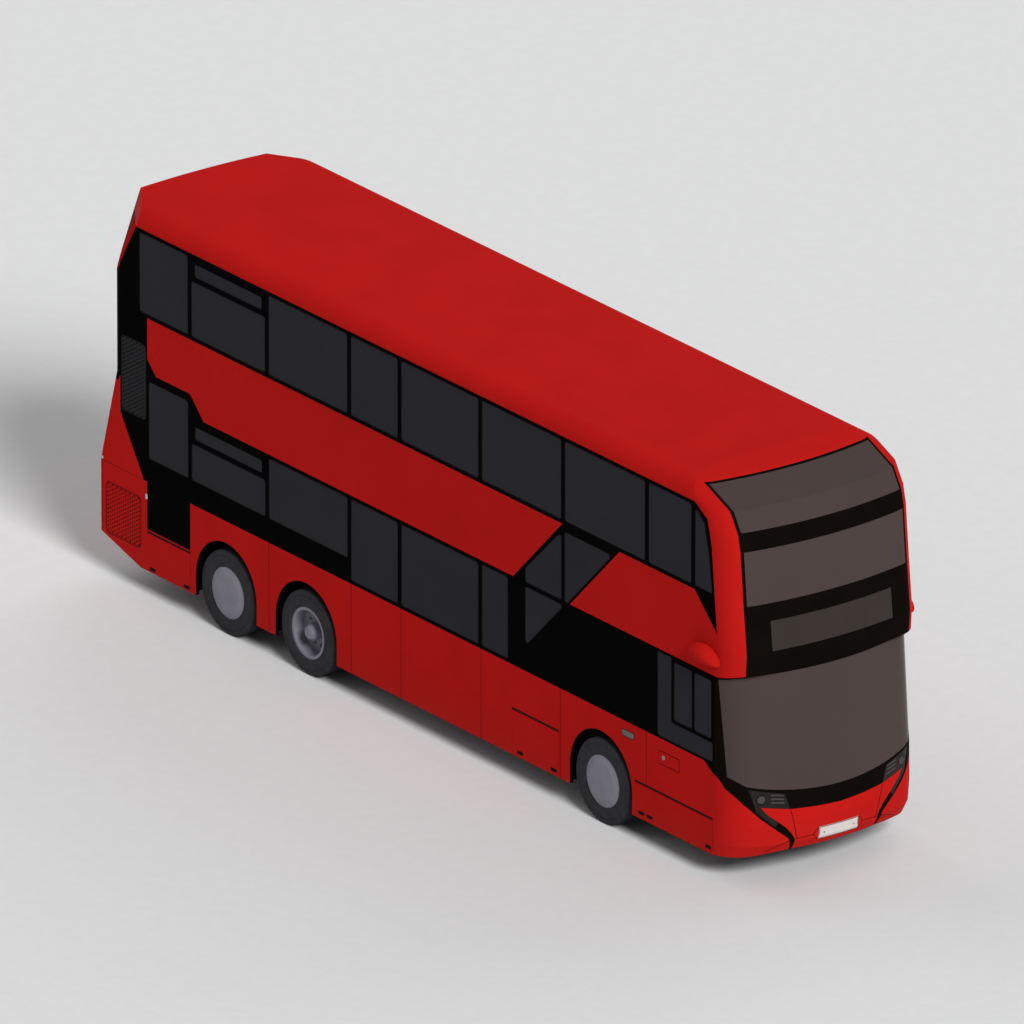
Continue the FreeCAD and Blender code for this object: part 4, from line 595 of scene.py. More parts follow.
class SurfaceProbe:
    """Finds points on the outside of the bus by looking at it along one direction."""

    def __init__(self, nodes: Iterable[str], direction: Vector) -> None:
        """Prepares the probe.

        Args:
            nodes: CAD nodes that it can hit.
            direction: the way it looks.
        """
        self.direction = direction.normalized()
        verts: List[Vector] = []
        faces: List[Tuple[int, ...]] = []
        for node in nodes:
            data = bpy.data.objects[node].data
            start = len(verts)
            verts += [v.co.copy() for v in data.vertices]
            faces += [tuple(start + i for i in p.vertices) for p in data.polygons]
        self.tree = BVHTree.FromPolygons(verts, faces)

    def at(self, point: Vector) -> Tuple[Vector, Vector]:
        """Drops a point onto the surface.

        Args:
            point: a point; its place along the look direction doesn't matter.

        Returns:
            The point on the surface and the outward normal there.
        """
        start = point - self.direction * (20.0 + point.dot(self.direction))
        hit, normal, _, _ = self.tree.ray_cast(start, self.direction)
        if hit is None:
            raise ValueError(f"nothing under {tuple(point)}")
        return hit, -normal if normal.dot(self.direction) > 0 else normal

    def ribbon(self, mesh: Mesh, path: Sequence[Vector], width: float, proud: float,
               spacing: float) -> None:
        """Lays a thin flat strip on the surface along a path.

        Args:
            mesh: the mesh that it joins.
            path: points of its middle line.
            width: its width.
            proud: how far its face stands off the surface.
            spacing: longest step between its sections.
        """
        fine = [path[0]]
        for start, end in zip(path, path[1:]):
            count = max(1, math.ceil((end - start).length / spacing))
            fine += [start.lerp(end, (i + 1) / count) for i in range(count)]
        spots = [self.at(p) for p in fine]
        rows = []
        for i, (spot, normal) in enumerate(spots):
            along = spots[min(i + 1, len(spots) - 1)][0] - spots[max(i - 1, 0)][0]
            across = along.cross(normal).normalized() * (width / 2)
            sink, lift = normal * SINK, normal * proud
            rows.append((spot - across - sink, spot - across + lift, spot + across + lift,
                         spot + across - sink))
        add_tube(mesh, rows)

    def disc(self, mesh: Mesh, middle: Spot, radius: float, proud: float, depth: float,
             side: Side = Side.LEFT) -> None:
        """Lays a round tile on the nose.

        Args:
            mesh: the mesh that it joins.
            middle: (distance from the middle plane, height) of its middle.
            radius: its radius.
            proud: how far its face stands off the surface.
            depth: how far its rim goes in.
            side: the side that it lies on.
        """
        y, z = middle
        spots = [self.at(Vector((0.0, side.value * (y + radius * math.cos(turn)),
                                 z + radius * math.sin(turn))))
                 for turn in (math.tau * i / 40 for i in range(40))]
        add_tube(mesh, ([s + n * proud for s, n in spots], [s - n * depth for s, n in spots]))


# ------------------------------------------------------------------ running gear
@dataclass
class WheelPart:
    """A piece of one wheel.

    Args:
        place: front, drive or tag.
        side: which side of the bus.
    """

    place: str
    side: Side

    @property
    def tag(self) -> str:
        """Suffix that this wheel's nodes and body carry."""
        return f"{self.place}_{self.side.label}"

    def turned(self, mesh: Mesh, section: Sequence[Spot], centre: Vector, steps: int,
               closed: bool) -> Verts:
        """Adds a ring turned about the wheel's axis.

        Args:
            mesh: the mesh that it joins.
            section: (distance inboard of the centre, radius) points.
            centre: the axis's point on the outer face.
            steps: number of steps round the axis.
            closed: whether the section closes on itself.

        Returns:
            Its vertices.
        """
        points = [Vector((0, -self.side.value * inboard, radius)) for inboard, radius in section]
        return add_turned(mesh, points, centre, Vector((0, 1, 0)), steps, closed)


@dataclass
class Tyre(WheelPart):
    """A low-profile bus tyre with ribs, shoulder lugs and ringed sidewalls.

    Args:
        steps: sections round the tyre.
        groove: depth and width of the tread grooves.
        lugs: shoulder notches round the tyre.
        shoulder: share of the width that the notched ribs take on each side.
    """

    steps: int = 180
    groove: float = 0.009
    lugs: int = 60
    shoulder: float = 0.17

    def section(self, width: float, outer: float, bead: float) -> List[Spot]:
        """Works out the tyre's section, from the outer bead over the tread to the inner one.

        Args:
            width: the tyre's width.
            outer: its radius.
            bead: radius of its beads.

        Returns:
            (distance inboard of the outer face, radius) points.
        """
        wall = [(0.024, bead), (0.012, bead + 0.012), (0.006, bead + 0.03), (0.003, bead + 0.032),
                (0.0015, bead + 0.06), (0.0, outer - 0.095), (0.0002, outer - 0.07),
                (0.0045, outer - 0.068), (0.0045, outer - 0.062), (0.001, outer - 0.06),
                (0.0025, outer - 0.032), (0.008, outer - 0.012), (0.02, outer - 0.002)]
        half, deep = self.groove / 2, outer - self.groove
        tread = []
        for share in (0.2, 0.4, 0.6, 0.8):
            at = width * share
            tread += [(at - half, outer), (at - half * 0.6, deep), (at + half * 0.6, deep),
                      (at + half, outer)]
        return wall + tread + [(width - inboard, radius) for inboard, radius in reversed(wall)]

    def build(self) -> None:
        """Models this wheel's tyre or twin tyres and replaces their solids."""
        rim_low, rim_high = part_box(f"rim_{self.tag}")
        bead = (rim_high[2] - rim_low[2]) / 2 - 0.011
        mesh = bmesh.new()
        for low, high in loose_parts(f"tyre_{self.tag}"):
            face_y = high.y if self.side is Side.LEFT else low.y
            centre = Vector(((low.x + high.x) / 2, face_y, (low.z + high.z) / 2))
            outer, width = (high.z - low.z) / 2 - 0.0003, high.y - low.y
            section = self.section(width, outer, bead)
            self._notch(self.turned(mesh, section, centre, self.steps, True), centre, outer, width)
        piece = finished(mesh, f"tread_{self.tag}", TYRE, f"wheel_{self.tag}", sharp=40)
        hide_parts(f"tyre_{self.tag}")

    def _notch(self, verts: Verts, centre: Vector, outer: float, width: float) -> None:
        """Cuts shoulder notches by drawing in every third section of the outer ribs.

        Args:
            verts: the tyre's vertices.
            centre: the axle's point on the tyre's outer face.
            outer: the tyre's radius.
            width: its width.
        """
        per_lug = self.steps // self.lugs
        for vert in verts:
            offset = vert.co - centre
            radius = math.hypot(offset.x, offset.z)
            share = abs(offset.y) / width
            if radius > outer - 0.014 and not self.shoulder <= share <= 1 - self.shoulder:
                angle = math.atan2(offset.x, offset.z) % math.tau
                if round(angle / math.tau * self.steps) % per_lug == 0:
                    shrink = (radius - self.groove) / radius
                    vert.co.x = centre.x + offset.x * shrink
                    vert.co.z = centre.z + offset.z * shrink


@dataclass
class WheelCover(WheelPart):
    """Smooth cover over the disc of a single wheel, with a raised flat middle.

    Args:
        flat: radius of its flat middle.
        face: how far the middle lies inside the tyre's face; below nought it stands proud.
        depth: how far its edge lies inside the tyre's face.
    """

    flat: float = 0.222
    face: float = -0.014
    depth: float = 0.0115

    def build(self) -> None:
        """Models the cover."""
        low, high = box_of(f"rim_{self.tag}")
        face_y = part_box(f"tyre_{self.tag}")[self.side is Side.LEFT][1]
        centre = Vector(((low.x + high.x) / 2, face_y, (low.z + high.z) / 2))
        face, flat, depth, edge = self.face, self.flat, self.depth, (high.z - low.z) / 2 - 0.001
        section = [(face, 0.0), (face, flat - 0.008), (face + 0.001, flat),
                   (face + 0.003, flat + 0.01), (depth - 0.0015, edge - 0.008),
                   (depth - 0.0005, edge - 0.002), (depth, edge), (depth + 0.0004, edge),
                   (depth + 0.0004, 0.0)]
        mesh = bmesh.new()
        self.turned(mesh, section, centre, 96, False)
        bmesh.ops.remove_doubles(mesh, verts=mesh.verts, dist=MERGE)
        finished(mesh, f"cover_{self.tag}", WHEEL, f"wheel_{self.tag}", sharp=10)


@dataclass
class WheelTrim(WheelPart):
    """Wheel nuts, hub cap bolts and valve of the deep drive wheel.

    Args:
        nuts: number of wheel nuts, and radius of their circle.
        studs: number of hub cap bolts, and radius of their circle.
    """

    nuts: Tuple[int, float] = (10, 0.1675)
    studs: Tuple[int, float] = (8, 0.068)

    def build(self) -> None:
        """Models the trim on the wheel's disc."""
        nut = ((-0.004, 0.004, 0.021, 20), (0.003, 0.016, 0.0155, 6), (0.015, 0.021, 0.009, 12))
        stud = ((-0.004, 0.006, 0.006, 6),)
        low, high = box_of(f"rim_{self.tag}")
        out = Vector((0, self.side.value, 0))
        probe = SurfaceProbe([f"rim_{self.tag}"], -out)
        centre = Vector(((low.x + high.x) / 2, 0.0, (low.z + high.z) / 2))
        mesh = bmesh.new()
        for (count, circle), first, rods in ((self.nuts, 0.5, nut), (self.studs, 0.0, stud)):
            for i in range(count):
                angle = math.tau * (i + first) / count
                spot, _ = probe.at(centre + Vector((math.sin(angle), 0, math.cos(angle))) * circle)
                for start, end, radius, sides in rods:
                    add_rod(mesh, spot + out * start, spot + out * end, radius, sides)
        valve, _ = probe.at(centre + Vector((0.0, 0, 0.205)))
        add_rod(mesh, valve, valve + Vector((0, self.side.value * 0.02, 0.012)), 0.004, 8)
        finished(mesh, f"nuts_{self.tag}", WHEEL, f"wheel_{self.tag}")


# ------------------------------------------------------------------ body trim
@dataclass(frozen=True)
class Layout:
    """Key stations of the bus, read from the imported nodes.

    Args:
        tail: X of the rearmost face.
        half: half the width over the flat sides.
        axles: X of the front, drive and tag axle.
    """

    tail: float
    half: float
    axles: Tuple[float, float, float]

    @classmethod
    def read(cls) -> "Layout":
        """Reads the stations.

        Returns:
            The layout.
        """
        rims = (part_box(f"rim_{place}_right") for place in ("front", "drive", "tag"))
        return cls(tail=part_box("rear_lower")[0][0], half=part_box("skirt_left")[1][1],
                   axles=tuple((low[0] + high[0]) / 2 for low, high in rims))


@dataclass
class Trim:
    """Pieces that are placed from the bus's key stations.

    Args:
        layout: key stations.
    """

    layout: Layout

    def plate(self, mesh: Mesh, outline: Sequence[Spot], side: Side, proud: float = THIN,
              sink: float = SINK, face: Optional[float] = None) -> None:
        """Adds a thin plate on a flat side of the bus.

        Args:
            mesh: the mesh that it joins.
            outline: its (x, z) corners in order.
            side: which side.
            proud: how far it stands off the face.
            sink: how far it goes in.
            face: distance of the face from the middle plane, if not the body's.
        """
        face = self.layout.half if face is None else face
        add_tube(mesh, [[(x, side.value * y, z) for x, z in outline]
                        for y in (face + proud, face - sink)])

    def bands(self, mesh: Mesh, lines: Iterable[Line], width: float, side: Side,
              **how: float) -> None:
        """Adds a thin plate along each line on a flat side of the bus.

        Args:
            mesh: the mesh that they join.
            lines: the (x, z) ends of each.
            width: their width.
            side: which side.
            how: any proud, sink and face, as for a plate.
        """
        for start, end in lines:
            self.plate(mesh, line_outline(start, end, width), side, **how)


@dataclass
class PanelSeams(Trim):
    """Thin shadow lines where the skirt panels meet, and dark lines over the big flaps.

    Args:
        width: width of each seam.
        flap_line: width of the dark line over a flap.
        foot: height of the skirt's lower edge.
        waist: height of its upper edge.
    """

    width: float = 0.0055
    flap_line: float = 0.022
    foot: float = 0.294
    waist: float = 1.349

    def build(self) -> None:
        """Lays the seams on both sides."""
        foot, waist, tail = self.foot, self.waist, self.layout.tail
        for side in Side:
            lines = [((x, foot), (x, waist)) for x in (-2.777, -1.262, -0.35, 1.112, 2.55)]
            if side is Side.RIGHT:
                lines.append(((4.105, 0.73), (4.105, waist)))
            else:
                lines += [((x, foot), (x, waist)) for x in (-4.2, -5.03, 4.0)]
                for x0, x1, head in ((-5.0, -4.23, 0.754), (0.25, 1.06, 0.704), (1.67, 2.5, 0.831)):
                    lines += [((x0, foot), (x0, head)), ((x0, head), (x1, head)),
                              ((x1, head), (x1, foot))]
            mesh = bmesh.new()
            self.bands(mesh, lines, self.width, side)
            over = waist + 0.004
            self.bands(mesh, [((tail + 0.05, 0.54), (tail + 0.05, waist)),
                              ((tail + 0.04, over), (-5.1, over))], 0.004, side)
            finished(mesh, f"seams_{side.label}", SEAM)
        mesh = bmesh.new()
        for name in ("flap_rear_right", "flap_mid_right", "flap_front_right"):
            low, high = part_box(name)
            z = high[2] + 0.002 + self.flap_line / 2
            self.bands(mesh, [((low[0], z), (high[0], z))], self.flap_line, Side.RIGHT)
        finished(mesh, "flap_lines_right", DARK)


@dataclass
class ArchLips(Trim):
    """Black rubber lips over the cut edges of the panels in the wheel arches.

    Args:
        radius: outer radius of a lip.
        centre_z: height of the arch curve's centre.
        foot_z: height of its lower ends.
        thickness: how far it reaches into the arch.
        depth: how far it reaches inboard.
        steps: sections of the half circle.
    """

    radius: float = 0.5625
    centre_z: float = 0.53
    foot_z: float = 0.2925
    thickness: float = 0.003
    depth: float = 0.044
    steps: int = 48

    def build(self) -> None:
        """Models one lip in each of the six arches."""
        leg = self.centre_z - self.foot_z
        turns = [(math.pi * i / self.steps, 0.0) for i in range(self.steps + 1)]
        for side in Side:
            mesh = bmesh.new()
            outer = side.value * (self.layout.half - 0.0002)
            inner = side.value * (self.layout.half - self.depth)
            thin = self.radius - self.thickness
            section = ((self.radius, outer), (self.radius, inner), (thin, inner), (thin, outer))
            for axle in self.layout.axles:
                add_tube(mesh, [[(axle + radius * math.cos(turn), y,
                                  self.centre_z + radius * math.sin(turn) - drop)
                                 for radius, y in section]
                                for turn, drop in [(0.0, leg)] + turns + [(math.pi, leg)]])
            finished(mesh, f"arch_lips_{side.label}", RUBBER)


@dataclass
class FlapLatches(Trim):
    """Flush latches with a finger recess, low on the big flaps, the filler flap's lock, and a
    painted shadow line round the filler flap.

    Args:
        length: length of a latch.
        height: its height.
        lock: (x, z) of the filler flap's lock.
        gap: how far the painted shadow line round the filler flap lies out from it, past its
            running gap.
    """

    length: float = 0.1
    height: float = 0.036
    lock: Spot = (4.412, 1.138)
    gap: float = 0.0085

    def build(self) -> None:
        """Models the latches of each flap as one piece that moves with it."""
        for flap, z, places in (("flap_rear_right", 0.335, (-4.935, -4.30)),
                                ("flap_mid_right", 0.352, (1.823, 2.431)),
                                ("flap_front_right", 0.362, (4.015, 4.162, 5.219))):
            mesh = bmesh.new()
            for x in places:
                for half, rise, radius, proud in ((self.length / 2, self.height / 2, 0.006, 0.0012),
                                                  (self.length / 2 * 0.35, 0.006, 0.004, 0.003)):
                    self.plate(mesh, round_outline(x - half, x + half, z - rise, z + rise, radius),
                               Side.RIGHT, proud)
            finished(mesh, f"latches_{flap}", DARK, body=flap)
        mesh = bmesh.new()
        x, z = self.lock
        for inner, outer, radius, sides in ((0.004, -0.002, 0.026, 32), (0.0, -0.004, 0.009, 20)):
            add_rod(mesh, (x, inner - self.layout.half, z), (x, outer - self.layout.half, z),
                    radius, sides)
        finished(mesh, "filler_lock", STEEL, "filler_flap_right")
        # Painted shadow: a thin dark line on the skirt round the filler flap, where the shade of
        # its gap falls.
        mesh = bmesh.new()
        low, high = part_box("filler_flap_right")
        outline = round_outline(low[0] - self.gap, high[0] + self.gap, low[2] - self.gap,
                                high[2] + self.gap, 0.012)
        self.bands(mesh, around(outline), 0.004, Side.RIGHT)
        finished(mesh, "filler_gap_shadow", SEAM)


@dataclass
class SideLamps(Trim):
    """Long side lamp over the front arch and the small white markers at the rear."""

    def build(self) -> None:
        """Models the lamps of both sides."""
        tail = self.layout.tail
        for side in Side:
            mesh = bmesh.new()
            self.plate(mesh, round_outline(3.655, 3.895, 1.167, 1.252, 0.0415, 8), side, 0.002)
            finished(mesh, f"side_lamp_base_{side.label}", DARK)
            mesh = bmesh.new()
            self._lens(mesh, 3.665, 3.885, 1.175, 1.244, side)
            finished(mesh, f"side_lamp_{side.label}", LAMP)
            mesh = bmesh.new()
            self._lens(mesh, -5.06, -5.025, 1.14, 1.205, side)
            self._lens(mesh, tail + 0.032, tail + 0.062, 1.362, 1.4, side)
            finished(mesh, f"markers_{side.label}", CLEAR_LENS)

    def _lens(self, mesh: Mesh, x0: float, x1: float, z0: float, z1: float, side: Side) -> None:
        """Adds a lens with a stepped, domed face.

        Args:
            mesh: the mesh that it joins.
            x0: its rear limit.
            x1: its front limit.
            z0: its foot.
            z1: its head.
            side: which side.
        """
        for inset, proud in ((0.0, 0.004), (0.006, 0.007), (0.012, 0.0085)):
            radius = min(x1 - x0, z1 - z0) / 2 - inset
            if radius > 0.002:
                self.plate(mesh, round_outline(x0 + inset, x1 - inset, z0 + inset, z1 - inset,
                                               radius * 0.98, 8), side, proud)


@dataclass
class MeshGrille(Trim):
    """Diagonal mesh over the dark plates of the engine bay's air ways.

    Args:
        pitch_x: length of a cell along the bus.
        pitch_z: height of a cell.
        wire: width of a strand.
        rim: how far the mesh stays inside the plate's edge.
        corner: radius of the corners that strands keep clear of.
    """

    pitch_x: float = 0.082
    pitch_z: float = 0.05
    wire: float = 0.0195
    rim: float = 0.014
    corner: float = 0.05

    def build(self) -> None:
        """Models one mesh over each of the four plates."""
        for low, high in loose_parts("side_grilles"):
            side = Side.of(low.y)
            is_low = low.z < 1.0
            face = max(abs(low.y), abs(high.y))
            limits = (low.x + self.rim, high.x - self.rim, low.z + self.rim, high.z - self.rim)
            x0, x1, z0, z1 = limits
            slope = self.pitch_z / self.pitch_x
            mesh = bmesh.new()
            for way, proud in ((slope, 0.004), (-slope, 0.0035)):
                for i in range(int((x1 - x0 + (z1 - z0) / slope) / self.pitch_x) + 2):
                    strand = self._clipped(x0 + i * self.pitch_x, way, limits)
                    self.bands(mesh, strand, self.wire, side, proud=proud, sink=0.001, face=face)
            edge = round_outline(low.x + 0.003, high.x - 0.003, low.z + 0.003, high.z - 0.003,
                                 0.057, 6)
            self.bands(mesh, around(edge), 0.014, side, proud=0.005, sink=0.001, face=face)
            if is_low:
                ring = round_outline(low.x - 0.002, high.x + 0.002, low.z - 0.002, high.z + 0.002,
                                     0.062, 6)
                outline = bmesh.new()
                self.bands(outline, around(ring), 0.007, side)
                finished(outline, f"mesh_outline_{side.label}", DARK)
            finished(mesh, f"mesh_{'low' if is_low else 'high'}_{side.label}",
                     RED if is_low else GRILLE_WIRE)

    def _clipped(self, start_x: float, slope: float,
                 limits: Tuple[float, float, float, float]) -> List[Line]:
        """Cuts a slanted line to the plate's limits and round corners.

        Args:
            start_x: where it starts along the plate.
            slope: its rise per length.
            limits: rear, front, lower and upper limit of the mesh.

        Returns:
            The line, or nothing if it is too short.
        """
        x0, x1, z0, z1 = limits
        run = (z1 - z0) / slope
        if slope > 0:
            start_x -= run
        near, far = sorted((start_x, start_x + run))
        first, last = max(x0, near), min(x1, far)
        if last - first < 0.03:
            return []
        ends = []
        for x, step in ((first, 0.004), (last, -0.004)):
            for _ in range(12):
                z = z0 + (x - start_x) * slope
                dx = max(x0 + self.corner - x, x - (x1 - self.corner), 0.0)
                dz = max(z0 + self.corner - z, z - (z1 - self.corner), 0.0)
                if dx == 0.0 or dz == 0.0 or math.hypot(dx, dz) <= self.corner:
                    break
                x += step
            ends.append((x, z0 + (x - start_x) * slope))
        return [(ends[0], ends[1])]


@dataclass
class PaneGaskets(Trim):
    """Rubber gaskets that follow the outline of every pane of a flat side.

    Args:
        width: width of a gasket.
        proud: how far it stands off the body's face.
    """

    width: float = 0.009
    proud: float = 0.0014

    def build(self) -> None:
        """Models the gaskets of both sides."""
        top, foot = self.layout.half + self.proud, self.layout.half - SINK
        for side in Side:
            mesh = bmesh.new()
            for loop in self.outlines(side):
                add_gasket(mesh, loop, self.width, lambda spot, is_top: (
                    spot.x, side.value * (top if is_top else foot), spot.y))
            finished(mesh, f"gaskets_{side.label}", RUBBER)

    @staticmethod
    def outlines(side: Side) -> List[List[Spot]]:
        """Outlines of the panes of one side, from the rim of their outer faces.

        Args:
            side: which side.

        Returns:
            One closed outline of (x, z) points per pane.
        """
        mesh = merged_copy(f"glazing_{side.label}")
        mesh.normal_update()
        outer = [f for f in mesh.faces if f.normal.y * side.value > 0.9]
        chosen = set(outer)
        links: Dict[bmesh.types.BMVert, Verts] = {}
        for face in outer:
            for edge in face.edges:
                if sum(1 for f in edge.link_faces if f in chosen) == 1:
                    a, b = edge.verts
                    links.setdefault(a, []).append(b)
                    links.setdefault(b, []).append(a)
        loops = []
        left = set(links)
        while left:
            loop = [left.pop()]
            while ahead := [v for v in links[loop[-1]] if v in left]:
                left.discard(ahead[0])
                loop.append(ahead[0])
            if len(loop) > 3:
                loops.append([(v.co.x, v.co.z) for v in loop])
        mesh.free()
        return loops


@dataclass
class WindowTrim(Trim):
    """Catches of the hopper panes and handles of the driver's sliding panes."""

    def build(self) -> None:
        """Models the catches inside each hopper pane and the slider handles."""
        for side in Side:
            mesh = bmesh.new()
            for low, high in loose_parts(f"glazing_{side.label}"):
                tall, long = high.z - low.z, high.x - low.x
                inner = side.value * (min(abs(low.y), abs(high.y)) - 0.002)
                places = []
                if 0.12 < tall < 0.2 and long > 1.0:
                    places += [low.x + share * long for share in (0.2, 0.8)]
                if side is Side.RIGHT and low.x > 4.5 and 0.2 < long < 0.4 and low.z < 2.0:
                    places.append(high.x - 0.05)
                for x in places:
                    self._catch(mesh, x, (low.z + high.z) / 2, inner, side)
            finished(mesh, f"catches_{side.label}", DARK)

    @staticmethod
    def _catch(mesh: Mesh, x: float, z: float, inner: float, side: Side) -> None:
        """Adds a catch with a thumb lever just inside a pane.

        Args:
            mesh: the mesh that it joins.
            x: its middle along the bus.
            z: its middle height.
            inner: Y of the pane's inner face.
            side: which side.
        """
        for half_x, half_z, depth in ((0.03, 0.018, 0.008), (0.012, 0.03, 0.016)):
            y0, y1 = sorted((inner, inner - side.value * depth))
            add_box(mesh, (x - half_x, y0, z - half_z), (x + half_x, y1, z + half_z))


# ------------------------------------------------------------------ front
@dataclass
class FrontTrim(Trim):
    """Lamps, seams, blank plate rims and display frame.

    Args:
        seam: width of a seam line.
        lamp: (distance from the middle plane, height) of the round headlamp.
        strips: number of light strips beside it.
        strip_drop: how far each strip lies under the one before.
    """

    seam: float = 0.008
    lamp: Spot = (0.955, 1.003)
    strips: int = 3
    strip_drop: float = 0.044

    def build(self) -> None:
        """Models everything on the front."""
        look = Vector((-1, 0, 0))
        low = SurfaceProbe(["lower_mask", "front_apron", "headlamps", "number_plates"], look)
        self._lamps(low)
        self._seams(low)
        self._plates(low)
        mesh = bmesh.new()
        self._frame(mesh, SurfaceProbe(["upper_mask", "display_panel"], look),
                    *box_of("display_panel"), 0.004, 0.009)
        finished(mesh, "display_frame", RUBBER)

    @staticmethod
    def _across(points: Sequence[Spot], side: Side) -> List[Vector]:
        """Mirrors front-view points for one side.

        Args:
            points: (distance from the middle plane, height) points.
            side: which side.

        Returns:
            Places that a probe can drop onto the nose.
        """
        return [Vector((0.0, side.value * y, z)) for y, z in points]

    @staticmethod
    def _frame(mesh: Mesh, probe: SurfaceProbe, low: Vector, high: Vector, rim: float,
               width: float) -> None:
        """Adds a rectangular frame just inside a box's edges.

        Args:
            mesh: the mesh that it joins.
            probe: probe of the surface under it.
            low: lowest corner of the box.
            high: highest corner.
            rim: how far inside the edges its middle line runs.
            width: its width.
        """
        y0, y1, z0, z1 = low.y + rim, high.y - rim, low.z + rim, high.z - rim
        path = [Vector((0.0, y, z)) for y, z in ((y0, z0), (y1, z0), (y1, z1), (y0, z1))]
        for pair in around(path):
            probe.ribbon(mesh, pair, width, 0.0012, 0.05)

    def _lamps(self, probe: SurfaceProbe) -> None:
        """Adds a round headlamp and slanted light strips in each lens.

        Args:
            probe: probe of the nose.
        """
        for side in (Side.LEFT, Side.RIGHT):
            mesh = bmesh.new()
            probe.disc(mesh, self.lamp, 0.052, 0.002, 0.006, side)
            finished(mesh, f"lamp_ring_{side.label}", DARK)
            mesh = bmesh.new()
            probe.disc(mesh, self.lamp, 0.044, 0.004, 0.006, side)
            probe.disc(mesh, self.lamp, 0.028, 0.0065, 0.006, side)
            for row in range(self.strips):
                drop, shift = self.strip_drop * row, 0.004 * row
                path = [(0.852 - shift, 1.042 - drop), (0.80, 1.036 - drop), (0.75, 1.028 - drop),
                        (0.705 - shift, 1.018 - drop)]
                probe.ribbon(mesh, self._across(path, side), 0.017, 0.004, 0.02)
            finished(mesh, f"lamp_{side.label}", FRONT_LAMP)

    def _seams(self, probe: SurfaceProbe) -> None:
        """Adds the seams beside the beak, along the foot of the nose and on the lip.

        Args:
            probe: probe of the nose.
        """
        mesh = bmesh.new()
        for side in (Side.LEFT, Side.RIGHT):
            for path in ([(0.625, 0.838), (0.60, 0.74), (0.57, 0.62), (0.541, 0.485)],
                         [(0.552, 0.474), (0.45, 0.482), (0.33, 0.49)],
                         [(0.33, 0.49), (0.275, 0.565)], [(0.33, 0.49), (0.275, 0.415)],
                         [(0.605, 0.474), (0.74, 0.428), (0.88, 0.37)]):
                probe.ribbon(mesh, self._across(path, side), self.seam, 0.0007, 0.04)
        finished(mesh, "front_seams", SEAM)

    def _plates(self, probe: SurfaceProbe) -> None:
        """Adds holders round the blank plates, the front one with its two screws.

        Args:
            probe: probe of the nose.
        """
        plates = sorted(loose_parts("number_plates"), key=lambda pair: pair[1].x)
        rim = 0.006
        low, high = plates[-1]
        mesh = bmesh.new()
        self._frame(mesh, probe, low, high, rim, 0.007)
        for y in (-0.2, 0.2):
            probe.disc(mesh, (y, (low.z + high.z) / 2), 0.008, 0.0022, 0.003)
        finished(mesh, "front_plate_rim", DARK)
        low, high = plates[0]
        mesh = bmesh.new()
        x = low.x - THIN
        for y0, y1, z0, z1 in ((low.y, high.y, low.z, low.z + rim),
                               (low.y, high.y, high.z - rim, high.z),
                               (low.y, low.y + rim, low.z, high.z),
                               (high.y - rim, high.y, low.z, high.z)):
            add_box(mesh, (x, y0, z0), (x + 0.003, y1, z1))
        finished(mesh, "rear_plate_rim", DARK)


@dataclass
class CameraPod(Trim):
    """Smooth camera housing with a visor line and a lens that looks aft.

    Args:
        steps: sections round and along the housing.
        taper: share by which the housing thins towards its front.
        droop: share of its half height by which its front end hangs.
        visor: place of the visor line ahead of its middle, as a share of its half length.
    """

    steps: int = 40
    taper: float = 0.3
    droop: float = 0.5
    visor: float = -0.25

    def build(self) -> None:
        """Models both housings and replaces the plain ones."""
        pieces = []
        for low, high in loose_parts("camera_pods"):
            side = Side.of(low.y)
            root, tip = sorted((abs(low.y), abs(high.y)))
            across = (high.z - low.z) / 2
            size = Vector(((high.x - low.x) / 2, across, across))
            centre = Vector(((low.x + high.x) / 2, side.value * (tip - across),
                             (low.z + high.z) / 2))
            mesh = bmesh.new()
            bmesh.ops.create_uvsphere(mesh, u_segments=self.steps, v_segments=self.steps // 2,
                                      radius=1.0)
            for vert in mesh.verts:
                x, y, z = vert.co
                ahead = max(x, 0.0)
                bent = z * (1.0 - self.taper * ahead) - self.droop * ahead ** 2
                vert.co = centre + Vector((x * size.x, y * size.y, max(bent, -1.0) * size.z))
            cut = bmesh.ops.bisect_plane(
                mesh, geom=mesh.verts[:] + mesh.edges[:] + mesh.faces[:],
                plane_co=Vector((centre.x, side.value * (root + 0.0002), centre.z)),
                plane_no=Vector((0, -side.value, 0)), clear_outer=True)
            rim = [e for e in cut["geom_cut"] if isinstance(e, bmesh.types.BMEdge)]
            bmesh.ops.contextual_create(mesh, geom=rim)
            pieces.append(finished(mesh, f"pod_{side.label}", RED, sharp=50))
            self._details(centre, size, side)
        for piece in pieces:
            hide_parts("camera_pods")

    def _details(self, centre: Vector, size: Vector, side: Side) -> None:
        """Adds the visor line round a housing and the lens at its rear end.

        Args:
            centre: the housing's middle.
            size: half its length, width and height.
            side: which side.
        """
        mesh = bmesh.new()
        count = self.steps // 2
        scale = math.sqrt(1 - self.visor ** 2)
        rows = []
        for i in range(count + 1):
            turn = math.radians(-70 + 140 * i / count)
            base = Vector((self.visor * size.x, side.value * math.cos(turn) * scale * size.y,
                           math.sin(turn) * scale * size.z))
            rows.append((centre + base * 0.97, centre + base * 0.999))
        shift = Vector((0.007, 0, 0))
        for (in_a, out_a), (in_b, out_b) in zip(rows, rows[1:]):
            quad = (in_a, out_a, out_b, in_b)
            add_tube(mesh, [quad, [point + shift for point in quad]])
        rear = centre + Vector((-size.x * 0.93, side.value * 0.01, 0.0))
        add_rod(mesh, rear + Vector((0.03, 0, 0)), rear, 0.026, 28)
        finished(mesh, f"pod_visor_{side.label}", DARK)


